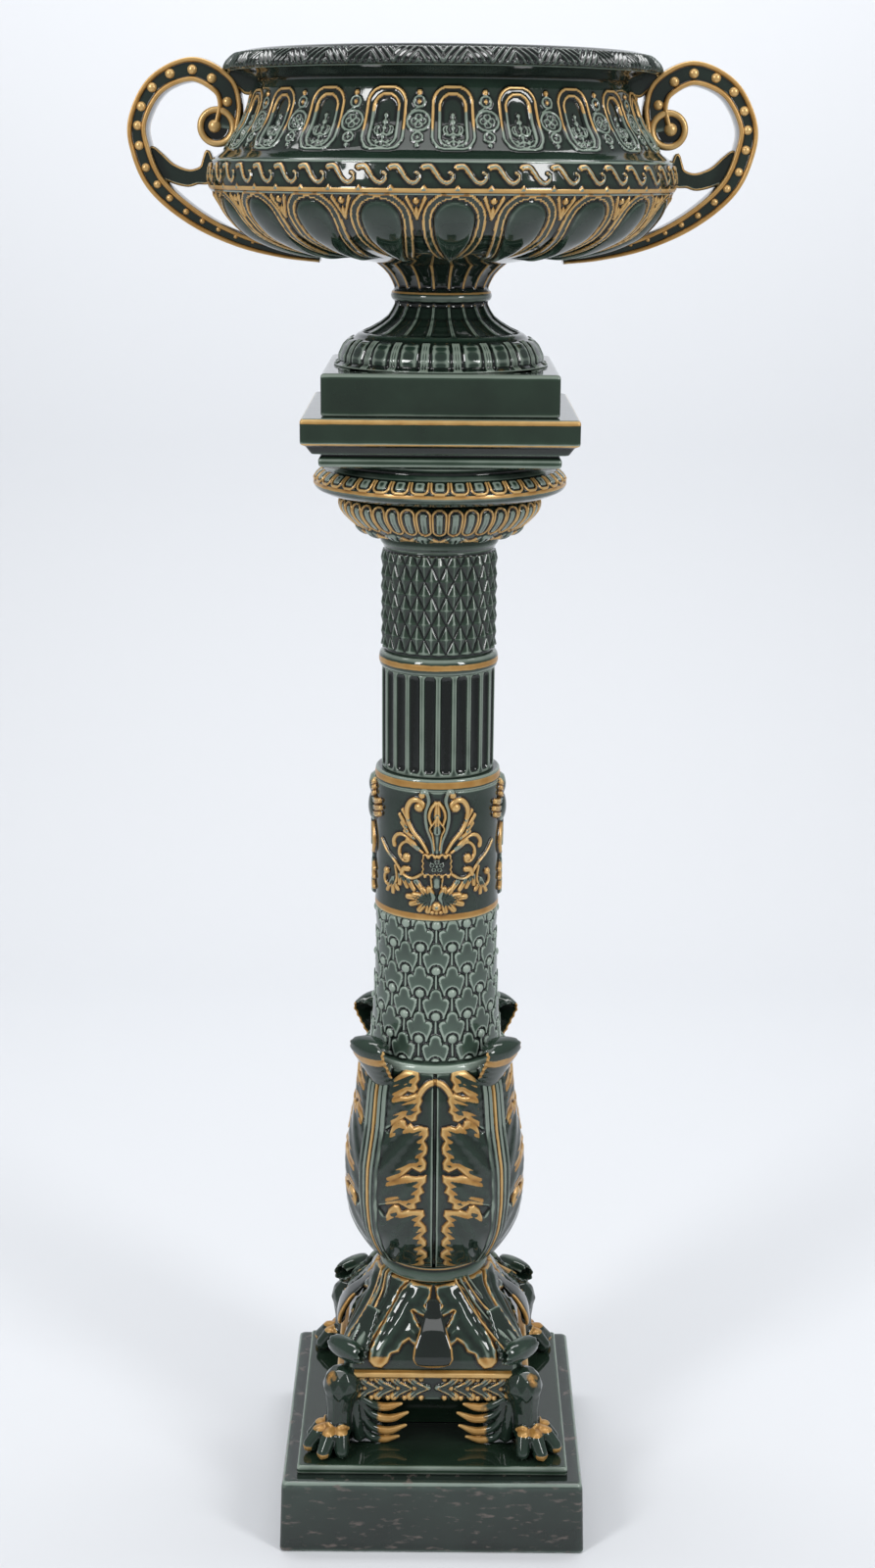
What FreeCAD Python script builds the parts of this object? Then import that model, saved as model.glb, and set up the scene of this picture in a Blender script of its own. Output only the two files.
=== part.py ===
"""A glazed earthenware jardiniere on its own pedestal.

The frame has its origin under the middle of the pedestal's slab, with +Z up and the
front facing -Y. The handles stand out along +X and -X. All sizes are in millimetres.
The urn lifts off the pedestal, and everything below the urn's square foot is one body.
"""
import FreeCAD, Part
import math
import os

import Sketcher
from FreeCAD import Placement, Rotation, Vector

# ---------------------------------------------------------------- driving dimensions

# Heights of the pieces, from the floor up, in the order in which they stand.
STACK = {
    "base_slab": 85,
    "base_step": 11,
    "base_core": 52,
    "frieze_block": 38,
    "base_skirt": 86,
    "base_ring": 18,
    "acanthus_bulb": 243,
    "bulb_collar": 9,
    "scale_drum": 140,
    "scroll_drum": 163,
    "column_ring": 13,
    "fluted_drum": 110,
    "gilt_ring": 17,
    "diamond_drum": 110,
    "astragal": 17,
    "capital_cushion": 38,
    "capital_echinus": 39,
    "capital_abacus": 51,
    "foot_plinth": 41.5,
    "socle": 101,
    "bowl": 202.5,
}

# Widest radius of each thrown piece.
RADII = {
    "base_ring": 60.6,
    "acanthus_bulb": 103.7,
    "bulb_collar": 79,
    "scale_drum": 74,
    "scroll_drum": 67.6,
    "column_ring": 64.8,
    "fluted_drum": 60,
    "gilt_ring": 62.8,
    "diamond_drum": 59,
    "astragal": 61.9,
    "capital_cushion": 104,
    "capital_echinus": 131,
    "socle": 109,
    "bowl": 233,
}

# Half the width of each square piece.
HALF_SIDES = {
    "base_slab": 168,
    "base_step": 149.5,
    "base_core": 58.6,
    "frieze_block": 107,
    "base_skirt": 101,
    "capital_abacus": 136.5,
    "foot_plinth": 117.5,
}

# What the pieces share, and the main sizes of the handles, gadroons, leaves and paws.
SHARED = {
    "column_bore": 46,
    "wall": 12,
    "vent": 12,
    "handle_depth": 44,
    "handle_channel": 3,
    "handle_rim": 4,
    "tendril_depth": 18,
    "clasp_depth": 34,
    "gadroon_count": 20,
    "gadroon_length": 75,
    "gadroon_radius": 20,
    "flute_count": 22,
    "flute_radius": 6,
    "knee_radius": 21,
    "knee_centre": 101,
    "knee_rise": 69,
    "toe_length": 38,
    "toe_radius": 10,
    "lock_depth": 11,
    "frieze_inset": 9,
    "tongue_reach": 119,
    "tongue_radius": 27,
    "tongue_length": 60,
    "curl_radius": 11.5,
    "curl_length": 52,
    "leaf_back_radius": 20,
    "leaf_back_length": 66,
    "leaf_tip_radius": 14,
    "leaf_tip_length": 50,
    "bulb_channel": 4,
    "foot_wall": 41,
}

doc = FreeCAD.newDocument("JardiniereOnStand")
sheet = doc.addObject("Spreadsheet::Sheet", "Sizes")


def fill_sheet():
    """Writes each driving dimension as one row: its name, and a number with that alias."""
    rows = [(name + "_height", value) for name, value in STACK.items()]
    rows += [(name + "_radius", value) for name, value in RADII.items()]
    rows += [(name + "_half", value) for name, value in HALF_SIDES.items()]
    rows += list(SHARED.items())
    for row, (alias, value) in enumerate(rows, start=1):
        sheet.set("A%d" % row, alias)
        sheet.set("B%d" % row, "%g" % value)
        sheet.setAlias("B%d" % row, alias)
    doc.recompute()


fill_sheet()


def size(alias):
    """The number that the sheet holds under this alias."""
    return float(sheet.get(alias))


def bound(alias, offset=0.0, share=1.0):
    """A length and the expression that ties it to the sheet: share of a size, plus offset."""
    text = "Sizes.%s * %.6g + %.6g" % (alias, share, offset)
    return size(alias) * share + offset, text


def base_of(name):
    """Where a piece stands: the heights of all the pieces below it, added up."""
    below = list(STACK)[:list(STACK).index(name)]
    text = " + ".join("Sizes.%s_height" % item for item in below) or "0"
    return sum(size(item + "_height") for item in below), text


# ---------------------------------------------------------------- building blocks

nodes = []


def origin_item(body, role):
    """One of the body's own origin planes or axes."""
    return next(item for item in body.Origin.OriginFeatures if item.Role == role)


def new_body(name, stands_on=None, is_node=True):
    """A body with its own name, lifted to where the stack puts it."""
    body = doc.addObject("PartDesign::Body", name)
    body.Label = name
    if stands_on:
        rise, text = base_of(stands_on)
        body.Placement = Placement(Vector(0, 0, rise), Rotation())
        body.setExpression("Placement.Base.z", text)
    if is_node:
        nodes.append(body)
    return body


def new_sketch(body, name, role="XZ_Plane", offset=None):
    """A sketch on one of the body's origin planes, moved along its normal by a bound length."""
    sketch = body.newObject("Sketcher::SketchObject", name)
    sketch.AttachmentSupport = [(origin_item(body, role), "")]
    sketch.MapMode = "FlatFace"
    if offset:
        value, text = offset
        sketch.AttachmentOffset = Placement(Vector(0, 0, value), Rotation())
        sketch.setExpression("AttachmentOffset.Base.z", text)
    return sketch


def fix(sketch, kind, geometry, end, length):
    """Ties one coordinate of a point to the sheet, measured from the sketch's origin."""
    value, text = length
    index = sketch.addConstraint(Sketcher.Constraint(kind, -1, 1, geometry, end, value))
    sketch.setExpression("Constraints[%d]" % index, text)


def edge(start, finish, bulge):
    """A straight edge, or an arc that stands out to the right of its direction by bulge.

    A sketch wants its arcs anticlockwise, so an arc that bends the other way is drawn from
    its finish.
    """
    if not bulge:
        return Part.LineSegment(start, finish)
    along = finish - start
    side = Vector(along.y, -along.x, 0).normalize()
    middle = (start + finish) * 0.5 + side * bulge
    return Part.Arc(start, middle, finish) if bulge > 0 else Part.Arc(finish, middle, start)


def closed_outline(sketch, points, bulges):
    """Adds one closed outline, and gives each corner as (geometry, which end of it)."""
    count = len(points)
    first = sketch.GeometryCount
    for index, bulge in enumerate(bulges):
        sketch.addGeometry(edge(points[index], points[(index + 1) % count], bulge), False)
    starts = [(first + index, 1 if bulge >= 0 else 2) for index, bulge in enumerate(bulges)]
    for index, start in enumerate(starts):
        geometry, end = starts[index - 1]
        sketch.addConstraint(Sketcher.Constraint("Coincident", geometry, 3 - end, *start))
    return starts


def draw(sketch, corners):
    """A closed outline through corners, each (bound x, bound y, bulge of the next edge)."""
    points = [Vector(x[0], y[0], 0) for x, y, bulge in corners]
    starts = closed_outline(sketch, points, [bulge for x, y, bulge in corners])
    for start, (x, y, bulge) in zip(starts, corners):
        fix(sketch, "DistanceX", *start, x)
        fix(sketch, "DistanceY", *start, y)


def revolve(body, name, corners):
    """Turns an outline once round the body's Z axis."""
    sketch = new_sketch(body, name + "_outline")
    draw(sketch, corners)
    turn = body.newObject("PartDesign::Revolution", name + "_turn")
    turn.Profile = sketch
    turn.ReferenceAxis = (sketch, ["V_Axis"])
    turn.Angle = 360
    doc.recompute()
    return turn


def corners_of(name, outline):
    """An outline's corners, bound to the piece's widest radius and its height."""
    return [
        (bound(name + "_radius", -inset), bound(name + "_height", share=share), bulge)
        for inset, share, bulge in outline
    ]


def thrown(name, outside, inside=None):
    """A piece thrown on the wheel.

    outside and inside list corners as (inset from the widest radius, share of the height,
    bulge of the edge that follows): outside climbs, and inside comes down again. Without
    inside, the piece has the column's straight bore.
    """
    body = new_body(name, stands_on=name)
    corners = corners_of(name, outside + (inside or []))
    if inside is None:
        corners.append((bound("column_bore"), bound(name + "_height"), 0))
        corners.append((bound("column_bore"), bound(name + "_height", share=0), 0))
    revolve(body, name, corners)
    return body


def square(sketch, half, corner):
    """A square with rounded corners about the sketch's origin."""
    value = half[0]
    flat = value - corner
    runs = [
        (Vector(-flat, -value, 0), Vector(flat, -value, 0)),
        (Vector(value, -flat, 0), Vector(value, flat, 0)),
        (Vector(flat, value, 0), Vector(-flat, value, 0)),
        (Vector(-value, flat, 0), Vector(-value, -flat, 0)),
    ]
    for index, (start, finish) in enumerate(runs):
        onward = runs[(index + 1) % 4][0]
        sketch.addGeometry(Part.LineSegment(start, finish), False)
        sketch.addGeometry(edge(finish, onward, quarter(corner)), False)
    for index in range(4):
        line, arc, onward = 2 * index, 2 * index + 1, (2 * index + 2) % 8
        sketch.addConstraint(Sketcher.Constraint("Tangent", line, 2, arc, 1))
        sketch.addConstraint(Sketcher.Constraint("Tangent", arc, 2, onward, 1))
        level = "Horizontal" if index % 2 == 0 else "Vertical"
        sketch.addConstraint(Sketcher.Constraint(level, line))
    for index in range(3):
        sketch.addConstraint(Sketcher.Constraint("Equal", 1, 2 * index + 3))
    sketch.addConstraint(Sketcher.Constraint("Radius", 1, corner))
    minus = (-half[0], "-(%s)" % half[1])
    fix(sketch, "DistanceY", 0, 1, minus)
    fix(sketch, "DistanceX", 2, 1, half)
    fix(sketch, "DistanceY", 4, 1, half)
    fix(sketch, "DistanceX", 6, 1, minus)


def circle(sketch, radius):
    """A circle about the sketch's origin."""
    sketch.addGeometry(Part.Circle(Vector(0, 0, 0), Vector(0, 0, 1), radius[0]), False)
    sketch.addConstraint(Sketcher.Constraint("Coincident", 0, 3, -1, 1))
    index = sketch.addConstraint(Sketcher.Constraint("Radius", 0, radius[0]))
    sketch.setExpression("Constraints[%d]" % index, radius[1])


def stacked(name, levels):
    """A moulded square piece: a loft through rounded squares.

    levels list (inset from the widest half side, share of the height, corner radius).
    """
    body = new_body(name, stands_on=name)
    sketches = []
    for index, (inset, share, corner) in enumerate(levels):
        level = new_sketch(body, "%s_level_%d" % (name, index), "XY_Plane",
                           bound(name + "_height", share=share))
        square(level, bound(name + "_half", -inset), corner)
        sketches.append(level)
    loft = body.newObject("PartDesign::AdditiveLoft", name + "_loft")
    loft.Profile = sketches[0]
    loft.Sections = sketches[1:]
    loft.Ruled = True
    doc.recompute()
    return body


def hollow_square(body, name, half, depth, corner=6):
    """Hollows a square piece from below, and checks that this took clay away."""
    before = body.Shape.Volume
    sketch = new_sketch(body, name + "_hollow_outline", "XY_Plane")
    square(sketch, half, corner)
    pocket = body.newObject("PartDesign::Pocket", name + "_hollow")
    pocket.Profile = sketch
    pocket.Length = depth[0]
    pocket.setExpression("Length", depth[1])
    pocket.Reversed = True
    doc.recompute()
    assert body.Shape.Volume < before, name + " was not hollowed"


def cut_square(body, name, half, level, upward=True):
    """Cuts a square space, a block's own outline, out of a piece above or below a level."""
    before = body.Shape.Volume
    sketch = new_sketch(body, name + "_outline", "XY_Plane", level)
    square(sketch, half, 2)
    space = body.newObject("PartDesign::Pocket", name)
    space.Profile = sketch
    space.Type = "ThroughAll"
    space.Reversed = upward
    space.Refine = False
    doc.recompute()
    assert body.Shape.Volume < before, name + " cut nothing"


def bore(body, name, radius):
    """A round hole up through the whole piece, on its axis."""
    before = body.Shape.Volume
    sketch = new_sketch(body, name + "_bore_outline", "XY_Plane")
    circle(sketch, radius)
    hole = body.newObject("PartDesign::Pocket", name + "_bore")
    hole.Profile = sketch
    hole.Type = "ThroughAll"
    hole.Midplane = True
    doc.recompute()
    assert body.Shape.Volume < before, name + " was not bored"


def turned(body, name, corners, centre, along):
    """A lump turned about an axis of its own, which passes through centre and runs along.

    corners are as in draw(), with x as the distance from that axis.
    """
    sketch = new_sketch(body, name + "_outline", "XY_Plane")
    sketch.AttachmentOffset = Placement(Vector(*centre), Rotation(Vector(0, 1, 0), Vector(*along)))
    draw(sketch, corners)
    turn = body.newObject("PartDesign::Revolution", name)
    turn.Profile = sketch
    turn.ReferenceAxis = (sketch, ["V_Axis"])
    turn.Angle = 360
    turn.Refine = False
    return turn


def quarter(radius):
    """How far a quarter of a circle stands out from its chord."""
    return radius * (1 - math.sqrt(0.5))


def pod(body, name, radius, length, centre, along):
    """A lump of clay of a bound radius and a bound length, with round ends."""
    end, end_text = length[0] / 2, "(%s) / 2" % length[1]
    flat, flat_text = end - radius[0], "(%s - (%s))" % (end_text, radius[1])
    bulge = quarter(radius[0])
    corners = [
        ((0, "0"), (-end, "-" + end_text), bulge),
        (radius, (-flat, "-" + flat_text), 0),
        (radius, (flat, flat_text), bulge),
        ((0, "0"), (end, end_text), 0),
    ]
    return turned(body, name, corners, centre, along)


def round_pattern(body, name, feature, count, sweep=360):
    """Repeats a feature evenly round the body's Z axis, over the whole turn or part of it."""
    pattern = body.newObject("PartDesign::PolarPattern", name)
    pattern.Originals = [feature]
    pattern.Axis = (origin_item(body, "Z_Axis"), [""])
    pattern.Angle = sweep
    pattern.Occurrences = int(count)
    pattern.Refine = False
    body.Tip = pattern
    doc.recompute()
    return pattern


# ---------------------------------------------------------------- the pedestal's base

def make_base_slab():
    """The square slab on the floor: a battered side, a sloped top and an open underside."""
    body = stacked("base_slab", [(0, 0, 6), (3, 0.89, 6), (6, 0.925, 5), (18, 1, 3)])
    hollow_square(body, "base_slab", bound("base_slab_half", -15), bound("base_slab_height", -15))


def make_base_step():
    body = stacked("base_step", [(0, 0, 3), (0, 0.8, 3), (2, 1, 3)])
    bore(body, "base_step", bound("column_bore"))


def make_base_core():
    """The plain block that stands back between the four paws."""
    body = stacked("base_core", [(0, 0, 2), (0, 1, 2)])
    hollow_square(body, "base_core", bound("base_core_half", -12), bound("base_core_height"))


# How far up the frieze block its plain field ends and its fillet starts, as a share of it.
FIELD_SHARE = 0.8


def make_frieze_block():
    """The square block of the laurel frieze, with a gilt fillet that projects at its top."""
    inset = size("frieze_inset")
    body = stacked("frieze_block", [
        (inset, 0, 2), (inset, FIELD_SHARE, 2), (1, FIELD_SHARE + 0.01, 2), (0, 0.86, 2), (1, 1, 2),
    ])
    bore(body, "frieze_block", bound("column_bore"))


def make_base_skirt():
    """The leafy skirt: round at the ring and square at the block, with a tongue on each face
    and a leaf that curls up at each corner."""
    body = stacked("base_skirt", [(0, 0, 8), (7, 0.2, 16), (20, 0.5, 40), (33, 0.8, 60), (41, 1, 59)])
    height = size("base_skirt_height")
    radius = bound("tongue_radius")
    tongue = pod(body, "skirt_tongue", radius, bound("tongue_length"),
                 (0, radius[0] - size("tongue_reach"), 0.45 * height), (0, 0.4, 1))
    doc.recompute()
    round_pattern(body, "skirt_tongues", tongue, 4)
    reach = size("base_skirt_half") * 0.94
    curl = pod(body, "skirt_curl", bound("curl_radius"), bound("curl_length"),
               (reach, reach, 0.23 * height), (-1, 1, 0))
    doc.recompute()
    round_pattern(body, "skirt_curls", curl, 4)
    bore(body, "base_skirt", bound("column_bore"))


# ---------------------------------------------------------------- the lion's paws

# One face's fur, as (distance from the knee's axis, height above the step, bulge of the edge
# that follows): each lock's tip, then the notch below it.
LOCKS = [
    (56, 55, 1.5), (45, 47, -3), (66, 44, 1.5), (51, 37, -3), (64, 33, 1.5), (48, 27, -3),
    (59, 22, 1.5), (42, 17, -3), (48, 11, 4),
]


def add_locks(body, name, role, sign):
    """Five curved locks of fur on one face of the corner, in one scalloped outline."""
    centre = size("knee_centre")
    face = bound("knee_centre")
    sketch = new_sketch(body, name + "_outline", role, (sign * face[0], "%d * (%s)" % (sign, face[1])))
    outline = [(2, 60, -5)] + LOCKS + [(2, 5, 0)]
    points = [Vector(out - centre, high, 0) for out, high, bulge in outline]
    closed_outline(sketch, points, [bulge for out, high, bulge in outline])
    pad = body.newObject("PartDesign::Pad", name)
    pad.Profile = sketch
    pad.Midplane = True
    pad.Length = size("lock_depth")
    pad.setExpression("Length", "Sizes.lock_depth")
    pad.Refine = False


def leg_corners():
    """The leg's outline: a broad sole, a cuff of skin, a waisted shank and a ball of a knee."""
    knee = size("knee_radius")
    rise = bound("knee_rise")
    levels = [(1.1, -0.04, 3), (1.05, 0.14, 0), (0.8, 0.24, 2), (0.93, 0.4, 2), (0.7, 0.52, 0),
              (0.72, 0.76, 0), (0.95, 0.9, 0)]
    corners = [((0, "0"), bound("knee_rise", share=-0.04), 0)]
    corners += [(bound("knee_radius", share=wide), bound("knee_rise", share=high), bulge)
                for wide, high, bulge in levels]
    top = (rise[0] + knee, "%s + Sizes.knee_radius" % rise[1])
    corners += [(bound("knee_radius"), rise, quarter(knee)), ((0, "0"), top, 0)]
    return corners


# Which way the four toes fan from the corner's diagonal, in degrees, and where their middles
# stand: this far ahead of the ankle, and this high.
TOE_FANS = (-39, -13, 13, 39)
TOE_AHEAD = 23
TOE_RISE = 8
# How far the ankle stands out from the knee's axis along both faces.
ANKLE_STEP = 8


def make_paw(name, turn):
    """One clawed foot: a knee, a shank, four toes and the fur on both sides of the corner.

    It is drawn at the front left corner, and turned about the object's axis.
    """
    body = new_body(name, stands_on="base_core")
    body.Placement = Placement(body.Placement.Base, Rotation(turn, 0, 0))
    centre = size("knee_centre")
    turned(body, name + "_leg", leg_corners(), (-centre - 2, -centre - 2, 0), (0, 0, 1))
    ankle = -centre - ANKLE_STEP
    for index, fan in enumerate(TOE_FANS):
        angle = math.radians(225 + fan)
        ahead = (math.cos(angle), math.sin(angle), 0)
        place = (ankle + TOE_AHEAD * ahead[0], ankle + TOE_AHEAD * ahead[1], TOE_RISE)
        pod(body, "%s_toe_%d" % (name, index), bound("toe_radius"), bound("toe_length"), place, ahead)
    doc.recompute()
    add_locks(body, name + "_front_fur", "XZ_Plane", 1)
    add_locks(body, name + "_side_fur", "YZ_Plane", -1)
    doc.recompute()
    cut_square(body, name + "_floor", bound("base_step_half"), bound("base_core_height", share=0), False)
    foot = bound("base_core_height")
    cut_square(body, name + "_under_field", bound("frieze_block_half", -size("frieze_inset")), foot)
    rise, text = bound("frieze_block_height", share=FIELD_SHARE)
    fillet = (foot[0] + rise, "%s + %s" % (foot[1], text))
    cut_square(body, name + "_under_fillet", bound("frieze_block_half"), fillet)


def make_base():
    make_base_slab()
    make_base_step()
    make_base_core()
    make_frieze_block()
    make_base_skirt()


# ---------------------------------------------------------------- the column

# The bulb's side, as in thrown(), and how wide the channel between two leaves is, in degrees.
BULB_SIDE = [(44, 0, 7), (5, 0.30, 5), (0, 0.42, 1), (9, 0.70, -1), (14, 0.9, 0), (22, 1, 0)]
CHANNEL_TURN = 13
# Where a leaf's back and its curled tip stand: distance from the axis, and height above the
# bulb's top.
LEAF_BACK = (77, -14)
LEAF_TIP = (94, 17)


def add_channels(body):
    """A sunk panel up the middle of each face, between the leaves."""
    before = body.Shape.Volume
    depth = size("bulb_channel")
    climb = BULB_SIDE[1:5]
    bulges = [bulge for inset, share, bulge in climb[:-1]]
    inner = [(inset + depth, share) for inset, share, bulge in climb]
    outer = [(inset - depth, share) for inset, share, bulge in climb[::-1]]
    bends = bulges + [0] + [-bulge for bulge in bulges[::-1]] + [0]
    outline = [(*corner, bulge) for corner, bulge in zip(inner + outer, bends)]
    sketch = new_sketch(body, "channel_outline")
    sketch.AttachmentOffset = Placement(Vector(), Rotation(Vector(0, 1, 0), 45))
    draw(sketch, corners_of("acanthus_bulb", outline))
    channel = body.newObject("PartDesign::Groove", "channel")
    channel.Profile = sketch
    channel.ReferenceAxis = (sketch, ["V_Axis"])
    channel.Angle = CHANNEL_TURN
    channel.Midplane = True
    channel.Refine = False
    doc.recompute()
    round_pattern(body, "channels", channel, 4)
    assert body.Shape.Volume < before, "the channels cut nothing"


def make_bulb():
    """The acanthus bulb, with four broad leaf tips that curl over at the diagonals."""
    inner = size("wall")
    body = thrown("acanthus_bulb", BULB_SIDE, [(34, 1, 0), (inner + 2, 0.45, 0), (58, 0, 0)])
    body.Placement = Placement(body.Placement.Base, Rotation(45, 0, 0))
    add_channels(body)
    height = size("acanthus_bulb_height")
    reach, rise = LEAF_BACK
    back = pod(body, "leaf_back", bound("leaf_back_radius"), bound("leaf_back_length"),
               (reach, 0, height + rise), (0.14, 0, 1))
    doc.recompute()
    round_pattern(body, "leaf_backs", back, 4)
    reach, rise = LEAF_TIP
    tip = pod(body, "leaf_tip", bound("leaf_tip_radius"), bound("leaf_tip_length"),
              (reach, 0, height + rise), (0, 1, 0))
    doc.recompute()
    round_pattern(body, "leaf_tips", tip, 4)
    seat = new_sketch(body, "leaf_seat_outline", "XY_Plane", bound("acanthus_bulb_height"))
    circle(seat, bound("bulb_collar_radius", 0.3))
    clear = body.newObject("PartDesign::Pocket", "leaf_seat")
    clear.Profile = seat
    clear.Type = "ThroughAll"
    clear.Reversed = True
    clear.Refine = False
    doc.recompute()


def make_fluted_drum():
    """A drum with hollow flutes cut along it, and plain ends."""
    body = thrown("fluted_drum", [(0, 0, 0), (0, 1, 0)])
    before = body.Shape.Volume
    sketch = new_sketch(body, "flute_outline", "XY_Plane", bound("fluted_drum_height", share=0.05))
    radius = size("flute_radius")
    centre = Vector(size("fluted_drum_radius") + radius * 0.45, 0, 0)
    sketch.addGeometry(Part.Circle(centre, Vector(0, 0, 1), radius), False)
    index = sketch.addConstraint(Sketcher.Constraint("Radius", 0, radius))
    sketch.setExpression("Constraints[%d]" % index, "Sizes.flute_radius")
    flute = body.newObject("PartDesign::Pocket", "flute")
    flute.Profile = sketch
    flute.Length = size("fluted_drum_height") * 0.9
    flute.setExpression("Length", "Sizes.fluted_drum_height * 0.9")
    flute.Reversed = True
    doc.recompute()
    round_pattern(body, "flutes", flute, size("flute_count"))
    assert body.Shape.Volume < before, "the flutes cut nothing"


def make_column():
    thrown("base_ring", [(3, 0, 0), (2, 0.1, 4), (3, 0.85, 0), (4, 1, 0)])
    make_bulb()
    thrown("bulb_collar", [(2, 0, 0), (0, 0.3, 0), (0, 0.9, 0), (5, 1, 0)])
    thrown("scale_drum", [(0.8, 0, 0), (4.6, 0.33, 0), (7.1, 0.66, 0), (9, 0.97, 0), (9, 1, 0)])
    thrown("scroll_drum", [(1.6, 0, 0), (0.6, 0.1, 0), (1.6, 0.12, 0), (1, 0.86, 0),
                           (0, 0.88, 1), (0.6, 0.97, 0), (3, 1, 0)])
    thrown("column_ring", [(4, 0, 0), (0, 0.35, 1.5), (0.5, 0.8, 0), (4, 1, 0)])
    make_fluted_drum()
    thrown("gilt_ring", [(3.5, 0, 0), (0.5, 0.2, 1), (0.5, 0.75, 0), (3.5, 1, 0)])
    thrown("diamond_drum", [(0, 0, 0), (1, 1, 0)])
    thrown("astragal", [(3, 0, 0), (0.5, 0.2, 2), (0.5, 0.75, 0), (2, 1, 0)])


def make_capital():
    thrown("capital_cushion", [(24, 0, 0), (16, 0.2, 3), (1, 0.62, 1.5), (1, 0.85, 0), (10, 1, 0)])
    thrown("capital_echinus", [(30, 0, 0), (7, 0.06, 0), (2, 0.15, 2), (6, 0.56, 0),
                               (13, 0.82, 0), (17, 1, 0)])
    abacus = stacked("capital_abacus", [
        (22, 0, 3), (17.5, 0.07, 3), (16.5, 0.17, 3), (18, 0.29, 3), (10.5, 0.30, 3),
        (5, 0.46, 3), (0, 0.51, 3), (0, 0.96, 3), (1.5, 1, 3),
    ])
    hollow_square(abacus, "capital_abacus", bound("column_bore", share=1.3),
                  bound("capital_abacus_height", -size("wall")))
    bore(abacus, "capital_abacus", bound("vent"))


# ---------------------------------------------------------------- the urn

# How far the bore under the socle stands in from the socle's widest edge.
SOCLE_WALL = 34


def make_foot():
    """The square foot, open below, and the turned socle that carries the bowl."""
    plinth = stacked("foot_plinth", [(0, 0, 3), (0.5, 0.93, 3), (3, 1, 3)])
    hollow_square(plinth, "foot_plinth", bound("foot_plinth_half", -size("foot_wall")),
                  bound("foot_plinth_height", -10))
    bore(plinth, "foot_plinth", bound("socle_radius", -SOCLE_WALL))
    thrown(
        "socle",
        [(0, 0, 0), (0, 0.03, 0), (6, 0.035, 4), (16, 0.25, 0), (24, 0.31, -6), (61, 0.6, 0),
         (58, 0.65, 1.5), (58, 0.72, 0), (61, 0.75, 0), (61, 0.77, -2.5), (43, 1, 0)],
        [(75, 1, 0), (75, 0.58, 0), (SOCLE_WALL, 0.18, 0), (SOCLE_WALL, 0, 0)],
    )


# The bowl's outer outline and its hollow, both climbing, as in thrown().
BOWL_OUTSIDE = [
    (169, 0, 0), (137, 0.035, 11), (21, 0.24, 0), (6, 0.343, 0), (0, 0.37, 0.7),
    (4, 0.495, 0), (12, 0.505, 0), (13, 0.517, -5), (47, 0.842, 0), (44, 0.868, 0),
    (28, 0.89, 0), (18, 0.906, 0), (17.5, 0.926, 3), (36, 1, 0), (233, 1, 0), (233, 0, 0),
]
BOWL_HOLLOW = [
    (233, 0.10, 0), (158, 0.11, 9), (32, 0.22, 0), (17, 0.33, 0), (15, 0.40, 0),
    (20, 0.49, -4), (57, 0.82, 0), (56, 0.93, -2), (47, 0.995, 0), (46, 1.03, 0), (233, 1.03, 0),
]


# The slip between the bowl and what is luted on to it.
CLAY_JOINT = 0.3
# Where the middle gadroon stands, from the front, and the first of each side's run of them.
FIRST_GADROON = 3
GADROON_RUNS = (108, 288)
# A gadroon's round top, as its inset from the bowl's widest radius and its height, and which
# way the gadroon tapers from there.
GADROON_TOP = (11.7, 68)
GADROON_TAPER = (-0.738, 0, -0.674)


def add_gadroons(body):
    """Teardrop bosses under the belly, with plain ground left where the handles' tails lie."""
    length = bound("gadroon_length")
    radius = bound("gadroon_radius")
    corners = [
        ((0, "0"), bound("gadroon_length", share=0), quarter(radius[0])),
        (radius, radius, 0),
        ((0, "0"), length, 0),
    ]
    per_side = size("gadroon_count") / 2 - 1
    step = 360 / size("gadroon_count")
    top = Vector(size("bowl_radius") - GADROON_TOP[0], 0, GADROON_TOP[1])
    for index, start in enumerate(GADROON_RUNS):
        turn = Rotation(start, 0, 0)
        boss = turned(body, "gadroon_%d" % index, corners, turn.multVec(top),
                      turn.multVec(Vector(*GADROON_TAPER)))
        doc.recompute()
        round_pattern(body, "gadroons_%d" % index, boss, per_side, step * (per_side - 1))


def make_bowl():
    """The bowl: a rolled rim, a hollow collar, an upright band and a gadrooned belly.

    Also gives its plain outer form, still solid, to cut what is luted on to it.
    """
    body = thrown("bowl", BOWL_OUTSIDE, [])
    body.Placement = Placement(body.Placement.Base, Rotation(FIRST_GADROON - 90, 0, 0))
    doc.recompute()
    envelope = doc.addObject("Part::Feature", "bowl_envelope")
    envelope.Shape = body.Tip.Shape.scaled(1 + CLAY_JOINT / size("bowl_radius"))
    add_gadroons(body)
    before = body.Shape.Volume
    sketch = new_sketch(body, "bowl_hollow_outline")
    draw(sketch, corners_of("bowl", BOWL_HOLLOW))
    hollow = body.newObject("PartDesign::Groove", "bowl_hollow")
    hollow.Profile = sketch
    hollow.ReferenceAxis = (sketch, ["V_Axis"])
    hollow.Angle = 360
    hollow.Refine = False
    doc.recompute()
    assert body.Shape.Volume < before, "the bowl was not hollowed"
    return envelope


# The middle line of a handle's strap, from the eye of the scroll round to its tail, as
# (distance from the object's axis, height above the bowl's foot), and its width there.
STRAP = [
    (214, 128, 24), (210, 152, 22.5), (218, 171, 23), (247, 184, 22), (282, 169, 19),
    (301, 136, 17.5),
    (299, 107, 18.5), (284, 74, 18), (249, 44, 16.5), (205, 22, 13), (160, 10, 10.5), (122, 5, 9),
]
SCROLL_EYE = (223, 130)
SCROLL_EYE_RADIUS = 19


def smooth(points):
    curve = Part.BSplineCurve()
    curve.interpolate(points)
    return curve


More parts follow.
